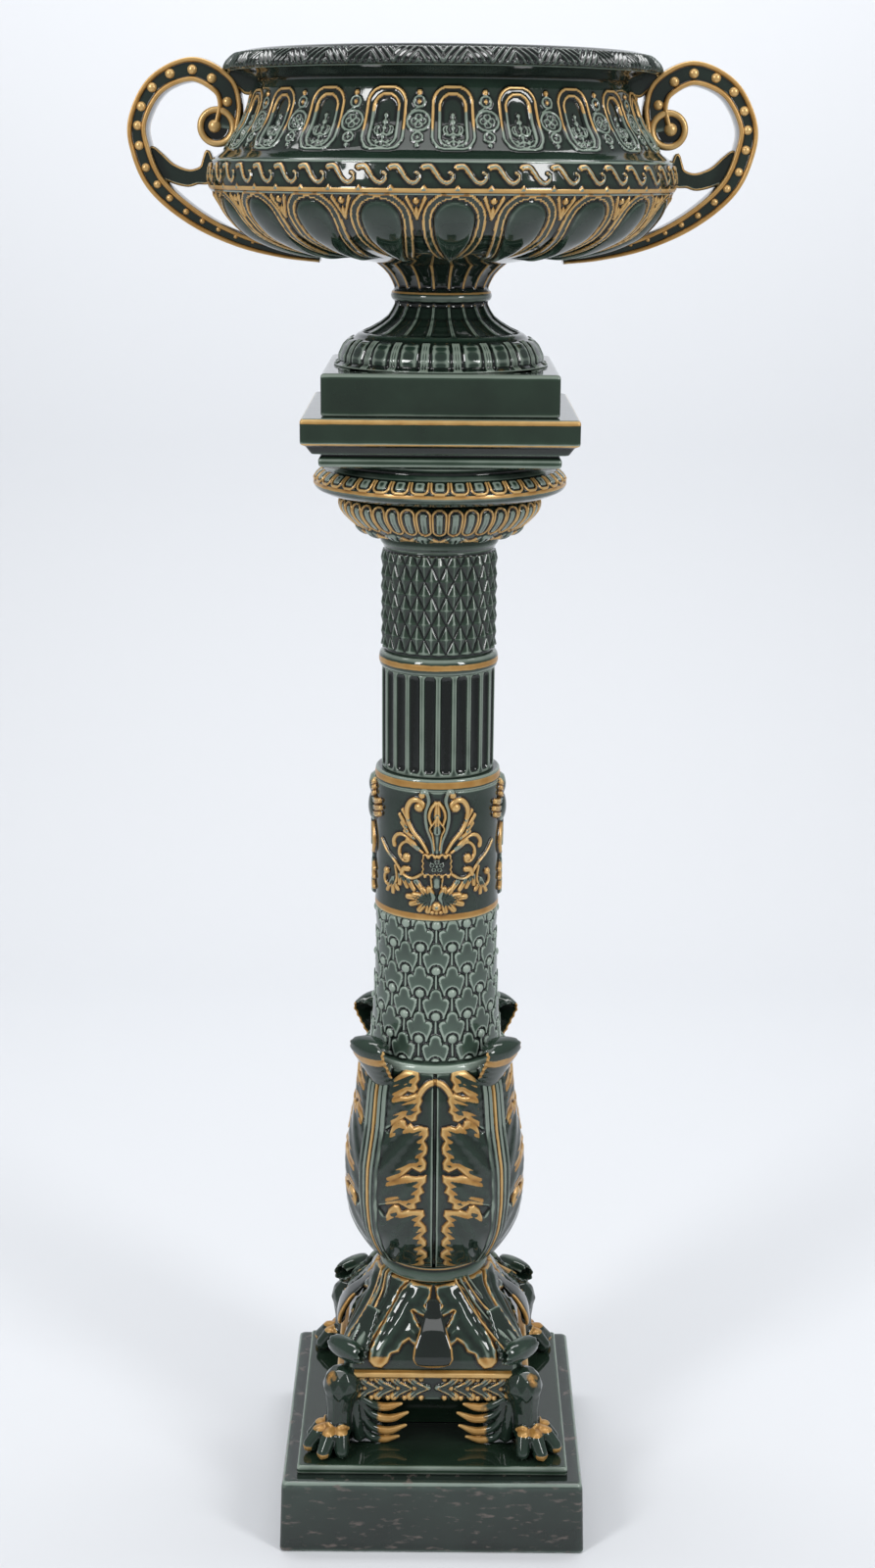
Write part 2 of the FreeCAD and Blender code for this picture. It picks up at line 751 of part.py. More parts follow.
def strap_edges(trim):
    """The points of the strap's two long edges, drawn in by trim."""
    middle = smooth([Vector(x, z, 0) for x, z, width in STRAP])
    outer, inner = [], []
    for x, z, width in STRAP:
        at = Vector(x, z, 0)
        along = middle.tangent(middle.parameter(at))[0]
        across = Vector(along.y, -along.x, 0) * max(width / 2 - trim, 1)
        outer.append(at - across)
        inner.append(at + across)
    return outer, inner


def upright(face, depth, middle=0):
    """Stands a flat face up in the XZ plane and gives it a depth about a middle plane."""
    face = face.copy()
    face.rotate(Vector(), Vector(1, 0, 0), 90)
    face.translate(Vector(0, middle + depth / 2, 0))
    return face.extrude(Vector(0, -depth, 0))


def scroll(trim, depth, middle=0):
    """The scrolled band and the round eye that it ends in, as one solid drawn in by trim."""
    outer, inner = strap_edges(trim)
    band = Part.Wire([
        smooth(outer).toShape(),
        Part.LineSegment(outer[-1], inner[-1]).toShape(),
        smooth(inner[::-1]).toShape(),
        Part.LineSegment(inner[0], outer[0]).toShape(),
    ])
    centre = Vector(*SCROLL_EYE, 0)
    eye = Part.Wire(Part.Circle(centre, Vector(0, 0, 1), SCROLL_EYE_RADIUS - trim).toShape())
    solids = [upright(Part.Face(wire), depth, middle) for wire in (band, eye)]
    return solids[0].fuse(solids[1])


def handle_shape():
    """A scrolled strap with a sunk channel between raised rims on its front and its back."""
    depth = size("handle_depth")
    channel = size("handle_channel")
    strap = scroll(0, depth)
    for face in (1, -1):
        strap = strap.cut(scroll(size("handle_rim"), channel, face * (depth - channel) / 2))
    return strap


def leaf_shape(outline, depth):
    """A flat leafy piece inside one smooth closed curve."""
    curve = Part.BSplineCurve()
    curve.interpolate([Vector(x, z, 0) for x, z in outline], PeriodicFlag=True)
    return upright(Part.Face(Part.Wire(curve.toShape())), depth)


# The leafy branch from the inside of the handle to the bowl's upright band.
TENDRIL = [
    (291, 110), (281, 99), (268, 91), (254, 87), (241, 88), (236, 100), (231, 102),
    (228, 84), (240, 79), (254, 74), (268, 79), (281, 86), (290, 95),
]
# The small volute that ties the handle's shoulder to the collar, clear of the rim above it.
CLASP = [
    (214, 175), (206, 171), (197, 170), (189, 168), (183, 163), (186, 156), (196, 155), (208, 161),
]


def luted(name, shape, envelope, turn):
    """A piece stuck on to the bowl at its right, cut back to its surface, then turned."""
    blank = doc.addObject("Part::Feature", name + "_blank")
    blank.Shape = shape
    piece = doc.addObject("Part::Cut", name)
    piece.Label = name
    piece.Base = blank
    piece.Tool = envelope
    piece.Refine = False
    rise, text = base_of("bowl")
    piece.Placement = Placement(Vector(0, 0, rise), Rotation(turn, 0, 0))
    piece.setExpression("Placement.Base.z", text)
    doc.recompute()
    nodes.append(piece)


def make_urn():
    make_foot()
    envelope = make_bowl()
    handle = handle_shape()
    tendril = leaf_shape(TENDRIL, size("tendril_depth")).cut(handle)
    clasp = leaf_shape(CLASP, size("clasp_depth")).cut(handle)
    for word, turn in (("right", 0), ("left", 180)):
        luted("handle_" + word, handle, envelope, turn)
        luted("handle_tendril_" + word, tendril, envelope, turn)
        luted("handle_clasp_" + word, clasp, envelope, turn)


# ---------------------------------------------------------------- the whole object

def check_all():
    """Stops if any object failed, or if a sub-part's shape is empty or broken."""
    for item in doc.Objects:
        faults = {"Invalid", "Error"} & set(item.State)
        assert not faults, "%s: %s" % (item.Name, faults)
    for node in nodes:
        assert not node.Shape.isNull() and node.Shape.isValid(), node.Label
        assert len(node.Shape.Solids) == 1, "%s has %d solids" % (node.Label, len(node.Shape.Solids))


def write_all():
    os.makedirs("parts", exist_ok=True)
    for node in nodes:
        node.Shape.exportStep("parts/%s.step" % node.Label)


make_base()
for corner, turn in (("front_left", 0), ("front_right", 90), ("back_right", 180), ("back_left", 270)):
    make_paw("paw_" + corner, turn)
make_column()
make_capital()
make_urn()
doc.recompute()
check_all()
write_all()
for node in nodes:
    box = node.Shape.BoundBox
    print("%-24s %8.1f cm3  x %7.1f %7.1f  y %7.1f %7.1f  z %7.1f %7.1f" % (
        node.Label, node.Shape.Volume / 1000, box.XMin, box.XMax, box.YMin, box.YMax, box.ZMin, box.ZMax))
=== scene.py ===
"""A majolica jardiniere on its stand: the glazed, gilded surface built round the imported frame."""

import math

import bmesh
import bpy
import numpy as np
from mathutils import Matrix, Vector


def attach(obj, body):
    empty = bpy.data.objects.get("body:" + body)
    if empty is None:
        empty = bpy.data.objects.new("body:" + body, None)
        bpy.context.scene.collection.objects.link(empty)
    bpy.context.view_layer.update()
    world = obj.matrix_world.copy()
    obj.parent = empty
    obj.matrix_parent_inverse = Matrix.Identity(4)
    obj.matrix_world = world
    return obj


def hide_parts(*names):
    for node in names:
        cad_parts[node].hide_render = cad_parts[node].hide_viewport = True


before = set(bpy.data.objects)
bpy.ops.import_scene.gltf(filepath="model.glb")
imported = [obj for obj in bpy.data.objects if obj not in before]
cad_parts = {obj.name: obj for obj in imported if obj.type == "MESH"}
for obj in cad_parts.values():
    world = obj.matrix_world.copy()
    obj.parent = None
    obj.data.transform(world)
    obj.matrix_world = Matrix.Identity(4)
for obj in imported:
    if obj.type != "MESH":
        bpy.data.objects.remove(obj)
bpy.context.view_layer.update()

MM = 0.001
TURN = 2 * math.pi
BORE = 46  # the pedestal's hollow, a radius
EDGE_REACH = 1.7  # how far the glaze feels an edge
EDGE_FULL = 0.42  # how much an edge stands out when its glaze is thinnest


# ---------------------------------------------------------------- small shapes of relief, in mm
def smooth(value, low, high):
    share = np.clip((value - low) / (high - low), 0, 1)
    return share * share * (3 - 2 * share)


def dome(distance, radius):
    return np.sqrt(np.clip(1 - (distance / radius) ** 2, 0, 1))


def fold(value, pitch, shift=0.0):
    """Distance from the middle of the nearest repeat."""
    return (value - shift + pitch / 2) % pitch - pitch / 2


def box_gap(x, y, half_x, half_y, radius):
    """Distance outside a rounded box, negative inside it."""
    over_x = np.abs(x) - (half_x - radius)
    over_y = np.abs(y) - (half_y - radius)
    outside = np.hypot(np.maximum(over_x, 0), np.maximum(over_y, 0))
    return outside + np.minimum(np.maximum(over_x, over_y), 0) - radius


def path_gap(x, y, points):
    """Distance from a bent line, and the share of its length at the nearest point."""
    points = np.array(points, dtype=float)
    steps = np.hypot(*np.diff(points, axis=0).T)
    starts = np.concatenate([[0], np.cumsum(steps)])
    best = np.full(np.broadcast(x, y).shape, 1e9)
    share = np.zeros(best.shape)
    for index, length in enumerate(steps):
        (ax, ay), (bx, by) = points[index], points[index + 1]
        along = np.clip(((x - ax) * (bx - ax) + (y - ay) * (by - ay)) / length**2, 0, 1)
        gap = np.hypot(x - ax - along * (bx - ax), y - ay - along * (by - ay))
        nearer = gap < best
        best = np.where(nearer, gap, best)
        share = np.where(nearer, (starts[index] + along * length) / starts[-1], share)
    return best, share


def shape_gap(x, y, outline):
    """Distance from a closed outline, negative inside it."""
    ring = np.array(outline, dtype=float)
    after = np.roll(ring, -1, 0)
    best = np.full(np.broadcast(x, y).shape, 1e9)
    inside = np.zeros(best.shape, dtype=bool)
    for (ax, ay), (bx, by) in zip(ring, after):
        length = (bx - ax) ** 2 + (by - ay) ** 2
        along = np.clip(((x - ax) * (bx - ax) + (y - ay) * (by - ay)) / length, 0, 1)
        best = np.minimum(best, np.hypot(x - ax - along * (bx - ax), y - ay - along * (by - ay)))
        if ay != by:
            inside ^= ((y > min(ay, by)) & (y <= max(ay, by))
                       & (x < ax + (y - ay) * (bx - ax) / (by - ay)))
    return np.where(inside, -best, best)


def lengths_of(points):
    """How far along a bent line each of its points lies."""
    steps = np.linalg.norm(np.diff(np.array(points, dtype=float), axis=0), axis=1)
    return np.concatenate([[0], np.cumsum(steps)])


def evenly(points, count):
    """Points spread evenly along a bent line, and how far along each lies."""
    along = lengths_of(points)
    even = np.linspace(0, along[-1], count)
    return np.stack([np.interp(even, along, column) for column in np.transpose(points)], 1), even


def curved(points, count=6):
    """A smooth line through the points."""
    p = np.array(points, dtype=float)
    p = np.vstack([2 * p[0] - p[1], p, 2 * p[-1] - p[-2]])
    out = []
    for i in range(1, len(p) - 2):
        for t in np.arange(count) / count:
            a = 2 * p[i]
            b = p[i + 1] - p[i - 1]
            c = 2 * p[i - 1] - 5 * p[i] + 4 * p[i + 1] - p[i + 2]
            d = 3 * p[i] - p[i - 1] - 3 * p[i + 1] + p[i + 2]
            out.append((a + b * t + c * t * t + d * t**3) / 2)
    out.append(p[-2])
    return np.array(out)


class Relief:
    """Height, gilding and tone of a surface, laid over its (x, y) in mm."""

    def __init__(self, x, y):
        self.x, self.y = np.broadcast_arrays(x, y)
        self.x = self.x.astype(float)
        self.y = self.y.astype(float)
        self.height = np.zeros(self.x.shape)
        self.gold = np.zeros(self.x.shape)
        self.tone = np.zeros(self.x.shape)

    def raise_to(self, height, mask, gold=0.0, tone=0.0):
        over = mask & (height > self.height)
        self.height = np.where(over, height, self.height)
        self.gold = np.where(over, gold, self.gold)
        self.tone = np.where(over, tone, self.tone)

    def cord(self, gap, radius, rise, gold=0.0, tone=0.0):
        gap = np.abs(gap)
        self.raise_to(rise * dome(gap, radius), gap < radius, gold, tone)

    def ball(self, x, y, radius, rise, gold=0.0, tone=0.0):
        self.cord(np.hypot(self.x - x, self.y - y), radius, rise, gold, tone)

    def ring(self, x, y, radius, half, rise, gold=0.0, tone=0.0):
        gap = np.hypot(self.x - x, self.y - y) - radius
        self.cord(gap, half, rise, gold, tone)

    def line(self, points, radius, rise, gold=0.0, tip=None, tone=0.0):
        """A cord along a line, whose radius runs from `radius` to `tip`."""
        gap, share = path_gap(self.x, self.y, points)
        wide = radius + ((radius if tip is None else tip) - radius) * share
        self.raise_to(rise * dome(gap / wide, 1), gap < wide, gold, tone)

    def frond(self, root, tip, wide_root, wide_tip, rise, start=0.55, bend=0.0, tone=0.0):
        """A leaf lobe from its root to its round tip, gilded from `start` on."""
        root = np.array(root, dtype=float)
        tip = np.array(tip, dtype=float)
        side = np.array([tip[1] - root[1], root[0] - tip[0]]) * bend
        points = curved([root, (root + tip) / 2 + side, tip], 4)
        gap, share = path_gap(self.x, self.y, points)
        wide = wide_root + (wide_tip - wide_root) * share
        shape = dome(gap / wide, 1) - 0.22 * np.exp(-((gap / (0.16 * wide)) ** 2))
        streak = 0.16 * np.sin(self.x * 1.9 + 0.8 * np.sin(self.y * 0.9)) * np.sin(self.y * 1.3)
        gold = smooth(share + streak + 0.25 * gap / wide, start, start + 0.12)
        self.raise_to(rise * shape, gap < wide, gold, tone)

    def leaf(self, outline, rise, gilt, plain, wave=0.0, tone=0.0):
        """A leaf inside an outline: a round edge, a soft swell, and gilding that runs in from
        the edge in streaks, `gilt` deep, but not within the half plane `plain`."""
        gap = shape_gap(self.x, self.y, outline)
        deep = np.maximum(-gap, 0)
        ruffle = np.sin(self.y * 0.62 + 0.5 * np.sin(self.x * 0.35)) * np.exp(-deep / 9)
        top = 0.62 * smooth(deep, -0.3, 1.8) + 0.38 * (1 - np.exp(-deep / 7)) + 0.05 * ruffle
        top = top + wave * np.sin(0.27 * (self.x + 0.75 * self.y)) * smooth(deep, 3, 12)
        streak = 1 + 0.32 * np.sin(self.y * 0.80 + self.x * 0.30) + 0.10 * np.sin(self.y * 2.1
                                                                                  + self.x * 0.9)
        gold = 1 - smooth(deep, gilt * streak - 1.6, gilt * streak + 1.2)
        gold = gold * (1 - smooth(self.x, plain - 8, plain))
        self.raise_to(rise * top, gap < 0, gold, tone)

    def trench(self, gap, depth):
        """Sunk where the gap is negative."""
        self.height = self.height - depth * smooth(-gap, -0.4, 1.2)

    def press(self, gap, depth, half):
        """A narrow groove where the gap is near nothing."""
        self.height = self.height - depth * dome(gap, half)


# ---------------------------------------------------------------- materials
class Graph:
    """The nodes of one material."""

    def __init__(self, name):
        self.material = bpy.data.materials.new(name)
        self.material.use_nodes = True
        self.nodes = self.material.node_tree.nodes
        self.shader = self.nodes["Principled BSDF"]

    def node(self, kind):
        return self.nodes.new("ShaderNode" + kind)

    def feed(self, socket, value):
        """Gives a socket a number, a colour or another node's output."""
        if isinstance(value, tuple):
            socket.default_value = (*value, 1)
        elif isinstance(value, (int, float)):
            socket.default_value = value
        else:
            self.material.node_tree.links.new(value, socket)

    def set(self, name, value):
        self.feed(self.shader.inputs[name], value)

    def math(self, operation, *values, clamp=False):
        made = self.node("Math")
        made.operation = operation
        made.use_clamp = clamp
        for socket, value in zip(made.inputs, values):
            self.feed(socket, value)
        return made.outputs[0]

    def times(self, first, second):
        return self.math("MULTIPLY", first, second)

    def plus(self, first, second, clamp=False):
        return self.math("ADD", first, second, clamp=clamp)

    def stored(self, name):
        made = self.node("Attribute")
        made.attribute_name = name
        return made.outputs["Fac"]

    def noise(self, scale, detail, stretch=(1.0, 1.0, 1.0)):
        made = self.node("TexNoise")
        mapping = self.node("Mapping")
        mapping.inputs["Scale"].default_value = stretch
        self.feed(mapping.inputs["Vector"], self.node("TexCoord").outputs["Object"])
        self.feed(made.inputs["Vector"], mapping.outputs[0])
        self.feed(made.inputs["Scale"], scale)
        self.feed(made.inputs["Detail"], detail)
        return made.outputs["Fac"]

    def ramp(self, source, *stops):
        made = self.node("ValToRGB")
        elements = made.color_ramp.elements
        while len(elements) < len(stops):
            elements.new(0.5)
        for element, (place, colour) in zip(elements, stops):
            element.position = place
            element.color = (*colour, 1)
        self.feed(made.inputs[0], source)
        return made.outputs[0]

    def mix(self, share, first, second):
        made = self.node("Mix")
        made.data_type = "RGBA"
        for socket, value in ((0, share), (6, first), (7, second)):
            self.feed(made.inputs[socket], value)
        return made.outputs[2]


NONE, FULL = (0, 0, 0), (1, 1, 1)
SCRATCHED, SCRATCH = (0.7, 0.7, 0.7), (0.15, 0.118, 0.106)
GILT_DARK = (0.15, 0.068, 0.014)
GILT = (0.38, 0.195, 0.046)
GILT_LIGHT = (0.60, 0.39, 0.15)


def glaze(name, deep, mid, pale, wear=0.0, streaks=False):
    """Pooled coloured glaze: dark in hollows, thin and pale on edges, with gilding laid on it."""
    graph = Graph(name)
    times, plus, noise = graph.times, graph.plus, graph.noise
    patches = noise(22.0, 4.0)
    edge = graph.math("MULTIPLY_ADD", graph.stored("edge"), 0.5, 0.5)
    # The stored tone holds the glaze's own lighter and darker parts, and in places painted light
    # and shade.
    level = plus(edge, times(graph.stored("tone"), 0.5))
    level = plus(level, times(plus(patches, -0.5), 0.34), True)
    colour = graph.ramp(level, (0.18, deep), (0.50, mid), (0.72, [c * 1.7 for c in mid]),
                        (0.96, pale))
    if streaks:
        worn = graph.ramp(noise(62.0, 12.0, (1.0, 1.0, 3.0)), (0.58, NONE), (0.70, SCRATCHED))
        colour = graph.mix(worn, colour, SCRATCH)
    gold = graph.stored("gold")
    rubbed = times(plus(noise(95.0, 5.0), -0.5), 1.6)
    gilded = graph.ramp(plus(plus(gold, times(rubbed, gold)), -wear), (0.30, NONE), (0.52, FULL))
    shine = plus(times(edge, 0.7), times(noise(60.0, 4.0), 0.45))
    leaf = graph.ramp(shine, (0.30, GILT_DARK), (0.58, GILT), (0.95, GILT_LIGHT))
    graph.set("Base Color", graph.mix(gilded, colour, leaf))
    graph.set("Metallic", times(gilded, 0.35))
    graph.set("Roughness", plus(plus(times(gilded, 0.24), 0.045), times(patches, 0.05)))
    graph.set("IOR", 1.55)
    bump = graph.node("Bump")
    graph.feed(bump.inputs["Strength"], 0.22)
    graph.feed(bump.inputs["Distance"], 0.0006)
    graph.feed(bump.inputs["Height"], plus(noise(70.0, 2.0), times(noise(240.0, 2.0), 0.12)))
    graph.set("Normal", bump.outputs[0])
    return graph.material


DEEP = (0.0022, 0.0042, 0.0032)
PALE = (0.19, 0.235, 0.195)
MATERIALS = {name: glaze(name, *look) for name, look in {
    "green_glaze": (DEEP, (0.0135, 0.0265, 0.0165), PALE),
    "dark_glaze": ((0.002, 0.003, 0.0027), (0.0075, 0.0125, 0.0095), (0.12, 0.155, 0.13)),
    "pale_glaze": ((0.003, 0.006, 0.005), (0.038, 0.060, 0.045), (0.26, 0.32, 0.27)),
    "gilt_leaf_glaze": (DEEP, (0.0115, 0.0225, 0.0155), PALE, 0.10),
    "handle_glaze": (DEEP, (0.0125, 0.0225, 0.0165), (0.12, 0.16, 0.135), 0.05),
    "worn_gilding": ((0.02, 0.014, 0.006), (0.05, 0.04, 0.02), (0.3, 0.24, 0.12), 0.12),
    "slab_glaze": ((0.004, 0.0055, 0.005), (0.019, 0.030, 0.024), (0.20, 0.25, 0.215), 0.0, True),
}.items()}


# ---------------------------------------------------------------- meshes
def profile(corners, rows, rounding=1.6):
    """Points spread evenly along a line of (reach, z), its corners rounded."""
    p = np.array([c[:2] for c in corners], dtype=float)
    out = [p[0]]
    for i in range(1, len(p) - 1):
        before, after = p[i - 1] - p[i], p[i + 1] - p[i]
        cut = min(rounding, 0.45 * np.hypot(*before), 0.45 * np.hypot(*after))
        start = p[i] + before / np.hypot(*before) * cut
        end = p[i] + after / np.hypot(*after) * cut
        for t in np.linspace(0, 1, 6):
            out.append((1 - t) ** 2 * start + 2 * t * (1 - t) * p[i] + t * t * end)
    out.append(p[-1])
    line, even = evenly(np.array(out), rows)
    return *line.T, even


def spread(values, passes, axis):
    """Softens a grid of points. Its columns (axis 1) run right round, its rows (axis 0) end."""
    for _ in range(passes):
        if axis:
            values = (np.roll(values, 1, 1) + np.roll(values, -1, 1)) / 4 + values / 2
        else:
            padded = np.concatenate([values[:1], values, values[-1:]])
            values = (padded[:-2] + padded[2:]) / 4 + values / 2
    return values


def normals_of(points):
    normal = np.cross(np.roll(points, -1, 1) - np.roll(points, 1, 1), np.gradient(points, axis=0))
    return normal / np.maximum(np.linalg.norm(normal, axis=2, keepdims=True), 1e-9)


def placed(name, data):
    """A new object in the scene."""
    obj = bpy.data.objects.new(name, data)
    bpy.context.collection.objects.link(obj)
    return obj


def positions(mesh):
    """The points of a mesh, in metres."""
    points = np.empty(len(mesh.vertices) * 3, dtype=np.float32)
    mesh.vertices.foreach_get("co", points)
    return points.reshape(-1, 3)


def store(mesh, **values):
    """Keeps a value for every point of a mesh."""
    for key, value in values.items():
        layer = mesh.attributes.new(key, "FLOAT", "POINT")
        layer.data.foreach_set("value", np.asarray(value, dtype=np.float32).ravel())


def dress(obj, slot, body, nodes=(), material=None):
    """Gives a piece its body and a material, the slot's own unless another is named, and hides the
    CAD nodes that it stands for.
    """
    obj.data.materials.clear()
    obj.data.materials.append(MATERIALS[material or slot])
    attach(obj, body)
    if nodes:
        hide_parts(*nodes)
    return obj


def grid_object(name, points, faces, **values):
    mesh = bpy.data.meshes.new(name)
    mesh.vertices.add(len(points))
    mesh.vertices.foreach_set("co", (points * MM).astype(np.float32).ravel())
    mesh.loops.add(faces.size)
    mesh.loops.foreach_set("vertex_index", faces.astype(np.int32).ravel())
    mesh.polygons.add(len(faces))
    mesh.polygons.foreach_set("loop_start", np.arange(0, faces.size, 4, dtype=np.int32))
    mesh.update(calc_edges=True)
    mesh.validate()
    mesh.shade_smooth()
    store(mesh, **values)
    return placed(name, mesh)


def skin(name, base, relief, slot, body, nodes=(), inner=(), material=None):
    """A sheet of points raised by its relief along its normals, closed by plain inner rows."""
    points = base + normals_of(base) * relief.height[..., None]
    soft = points
    for axis in (1, 0):
        step = np.median(np.linalg.norm(np.diff(points, axis=axis), axis=2))
        soft = spread(soft, min(60, int(2 * (EDGE_REACH / step) ** 2) + 1), axis)
    bulge = np.sum((points - soft) * normals_of(points), axis=2)
    edge = np.clip(bulge / EDGE_FULL, -1, 1)
    edge[[0, -1]] = 0
    columns = base.shape[1]
    plain = np.zeros((len(inner), columns))
    points = np.concatenate([points, *(row[None] for row in inner)])
    edge, gold, tone = (np.concatenate([a, plain]) for a in (edge, relief.gold, relief.tone))
    index = np.arange(len(points) * columns).reshape(-1, columns)
    lower = index if inner else index[:-1]
    upper = np.roll(index, -1, 0) if inner else index[1:]
    faces = np.stack([lower, np.roll(lower, -1, 1), np.roll(upper, -1, 1), upper], 2)
    obj = grid_object(name + "_skin", points.reshape(-1, 3), faces.reshape(-1, 4), edge=edge,
                      gold=gold, tone=tone)
    return dress(obj, slot, body, nodes, material)


def circle_rows(reach, z, columns):
    angle = np.arange(columns) / columns * TURN
    reach = np.atleast_1d(reach)[:, None]
    z = np.atleast_1d(z)[:, None] + 0 * angle
    return np.stack([reach * np.sin(angle), -reach * np.cos(angle), z], 2)


def wheel(name, corners, columns, rows, draw, slot, body, nodes=(), inner=(), rounding=1.6, **more):
    """A turned piece: draw(relief, angle, reach, z) lays the relief on (angle, distance along)."""
    reach, z, along = profile(corners, rows, rounding)
    base = circle_rows(reach, z, columns)
    angle = np.degrees(np.arange(columns) / columns * TURN)[None, :]
    relief = Relief(angle, along[:, None])
    if draw:
        draw(relief, angle, reach[:, None], z[:, None])
    closing = [circle_rows(r, h, columns)[0] for r, h in inner]
    return skin(name, base, relief, slot, body, nodes, closing, **more)


def block(name, corners, side, rows, draw, slot, body, nodes=(), inner=(), round_corner=2.5, turn=5,
          rounding=1.6, **more):
    """A square turned piece. Its columns run round the four sides and round corners."""
    reach, z, along = profile(corners, rows, rounding)
    flat = np.linspace(-1, 1, side)
    bend = np.linspace(0, math.pi / 2, turn + 2)[1:-1]
    keep = np.concatenate([np.stack([flat, -np.ones(side)], 1), np.tile([1.0, -1.0], (turn, 1))])
    lean = np.concatenate([np.tile([0.0, -1.0], (side, 1)), np.stack([np.sin(bend), -np.cos(bend)],
                                                                     1)])
    place = np.concatenate([flat, np.ones(turn)])
    extra = np.concatenate([np.zeros(side), bend])
    quarter = np.array([[0.0, 1.0], [-1.0, 0.0]])
    keeps, leans = [keep], [lean]
    for _ in range(3):
        keeps.append(keeps[-1] @ quarter)
        leans.append(leans[-1] @ quarter)
    keep, lean = np.concatenate(keeps), np.concatenate(leans)
    straight = (reach - round_corner)[:, None]
    x = straight * keep[:, 0] + round_corner * lean[:, 0]
    y = straight * keep[:, 1] + round_corner * lean[:, 1]
    base = np.stack([x, y, z[:, None] + 0 * x], 2)
    across = np.tile(place, 4) * straight + np.tile(extra, 4) * round_corner
    relief = Relief(across, along[:, None])
    if draw:
        draw(relief, across, reach[:, None], z[:, None])
    closing = [np.column_stack([r * keep, np.full(len(keep), float(h))]) for r, h in inner]
    return skin(name, base, relief, slot, body, nodes, closing, **more)


def bore(low, high):
    """The inner rows of a pedestal piece."""
    return [(BORE, high), (BORE, low)]


def band(relief, z, low, high, gold=1.0, tone=0.0):
    """Gilds, or tones, a level band."""
    inside = smooth(z, low - 0.35, low + 0.35) * (1 - smooth(z, high - 0.35, high + 0.35))
    relief.gold = np.maximum(relief.gold, inside * gold)
    relief.tone = relief.tone + inside * tone


# ---------------------------------------------------------------- the urn
PITCH = 18  # degrees from one gadroon, panel or flute of the urn to the next
BAND_REACH, COLLAR_REACH, RIM_REACH = 232, 200, 208
WAVE = 30.4  # the length of one wave of the running band


def draw_belly(relief, angle, reach, z):
    """Teardrop gadroons wrapped by two gilt ribs, with three-lobed darts between their tops."""
    deep = relief.y[-1, 0] - relief.y
    turn = fold(angle, PITCH, 3)
    x = np.radians(turn) * reach
    near_tail = smooth(np.abs(np.abs(fold(angle, 360)) - 90), 5, 9)
    centre, radius = 26.0, 19.5
    top = np.hypot(x, deep - centre) - radius
    taper = radius * (1 - 0.94 * smooth(deep, centre, 135) ** 0.9)
    gap = np.where(deep < centre, top, np.abs(x) - taper)
    inside = np.clip(-gap / np.maximum(taper, 2), 0, 1)
    boss = 5.6 * np.sqrt(1 - (1 - inside) ** 2) * smooth(150 - deep, 0, 40)
    relief.raise_to(boss * near_tail, gap < 0, 0, -0.12)
    fade = smooth(150 - deep, 0, 45) * near_tail
    squeeze = smooth(150 - deep, -30, 70)
    strip = (gap - 5.4 * squeeze) / 3.4
    relief.raise_to(1.7 * fade + 0 * gap, np.abs(strip) < 1, 0, 0.16)
    for reach_out, half in ((2.3, 0.95), (8.6, 1.05)):
        rib = (gap - reach_out * squeeze) / half
        gold = np.broadcast_to(smooth(deep, 128, 84), rib.shape)
        relief.raise_to((1.5 + 1.2 * dome(rib, 1)) * fade, np.abs(rib) < 1, gold, 0.3)
    away = np.radians(fold(angle, PITCH, 12)) * reach
    dart = Relief(away, deep)
    for tip, wide in (((-8.5, 5), 1.9), ((8.5, 5), 1.9), ((0, 16), 1.9)):
        dart.line(curved([(0, 27), (tip[0] * 0.35, 18), tip]), 0.9, 3.0, 1.0, wide)
    dart.ball(0, 8, 3.2, 3.4, 1.0)
    relief.raise_to(dart.height, (dart.height > 0) & (np.abs(away) < 14), dart.gold)
    band(relief, relief.y[-1, 0] - deep, relief.y[-1, 0] - 2.6, relief.y[-1, 0] - 0.8, 0.9)


def draw_band(relief, angle, reach, z):
    """A running wave over small triangles and a worn gilt stripe."""
    x = np.radians(fold(angle, 7.5)) * BAND_REACH
    y = relief.y
    wave = curved([(-17, 25), (-11, 25.5), (-6, 20), (-1.5, 14), (4, 11.2), (8.5, 13.5), (9.6, 18),
                   (6.6, 20.3)])
    for shift in (-WAVE, 0, WAVE):
        part = wave + np.array([shift, 0])
        gap, share = path_gap(x, y, part)
        wide = 2.6 - 1.5 * share
        rib = 2.0 * dome(gap / wide, 1)
        relief.raise_to(rib, gap < wide, smooth(gap / wide, 0.2, 0.55), 0.15)
    inside = (9.4 - y) * 0.8 - np.abs(fold(x, WAVE, 14)) + 0.3
    relief.raise_to(1.2 * smooth(inside, 0, 1.5), (inside > 0) & (y > 4),
                    smooth(-inside, -2.2, -1.4))
    relief.raise_to(0.8 + 0 * y, (y > 2.6) & (y < 6.8), 1.0)
    relief.cord(y - 1.0, 1.1, 1.0, 0, 0.6)
    relief.cord(y - 30.5, 1.0, 0.8, 0, 0.6)


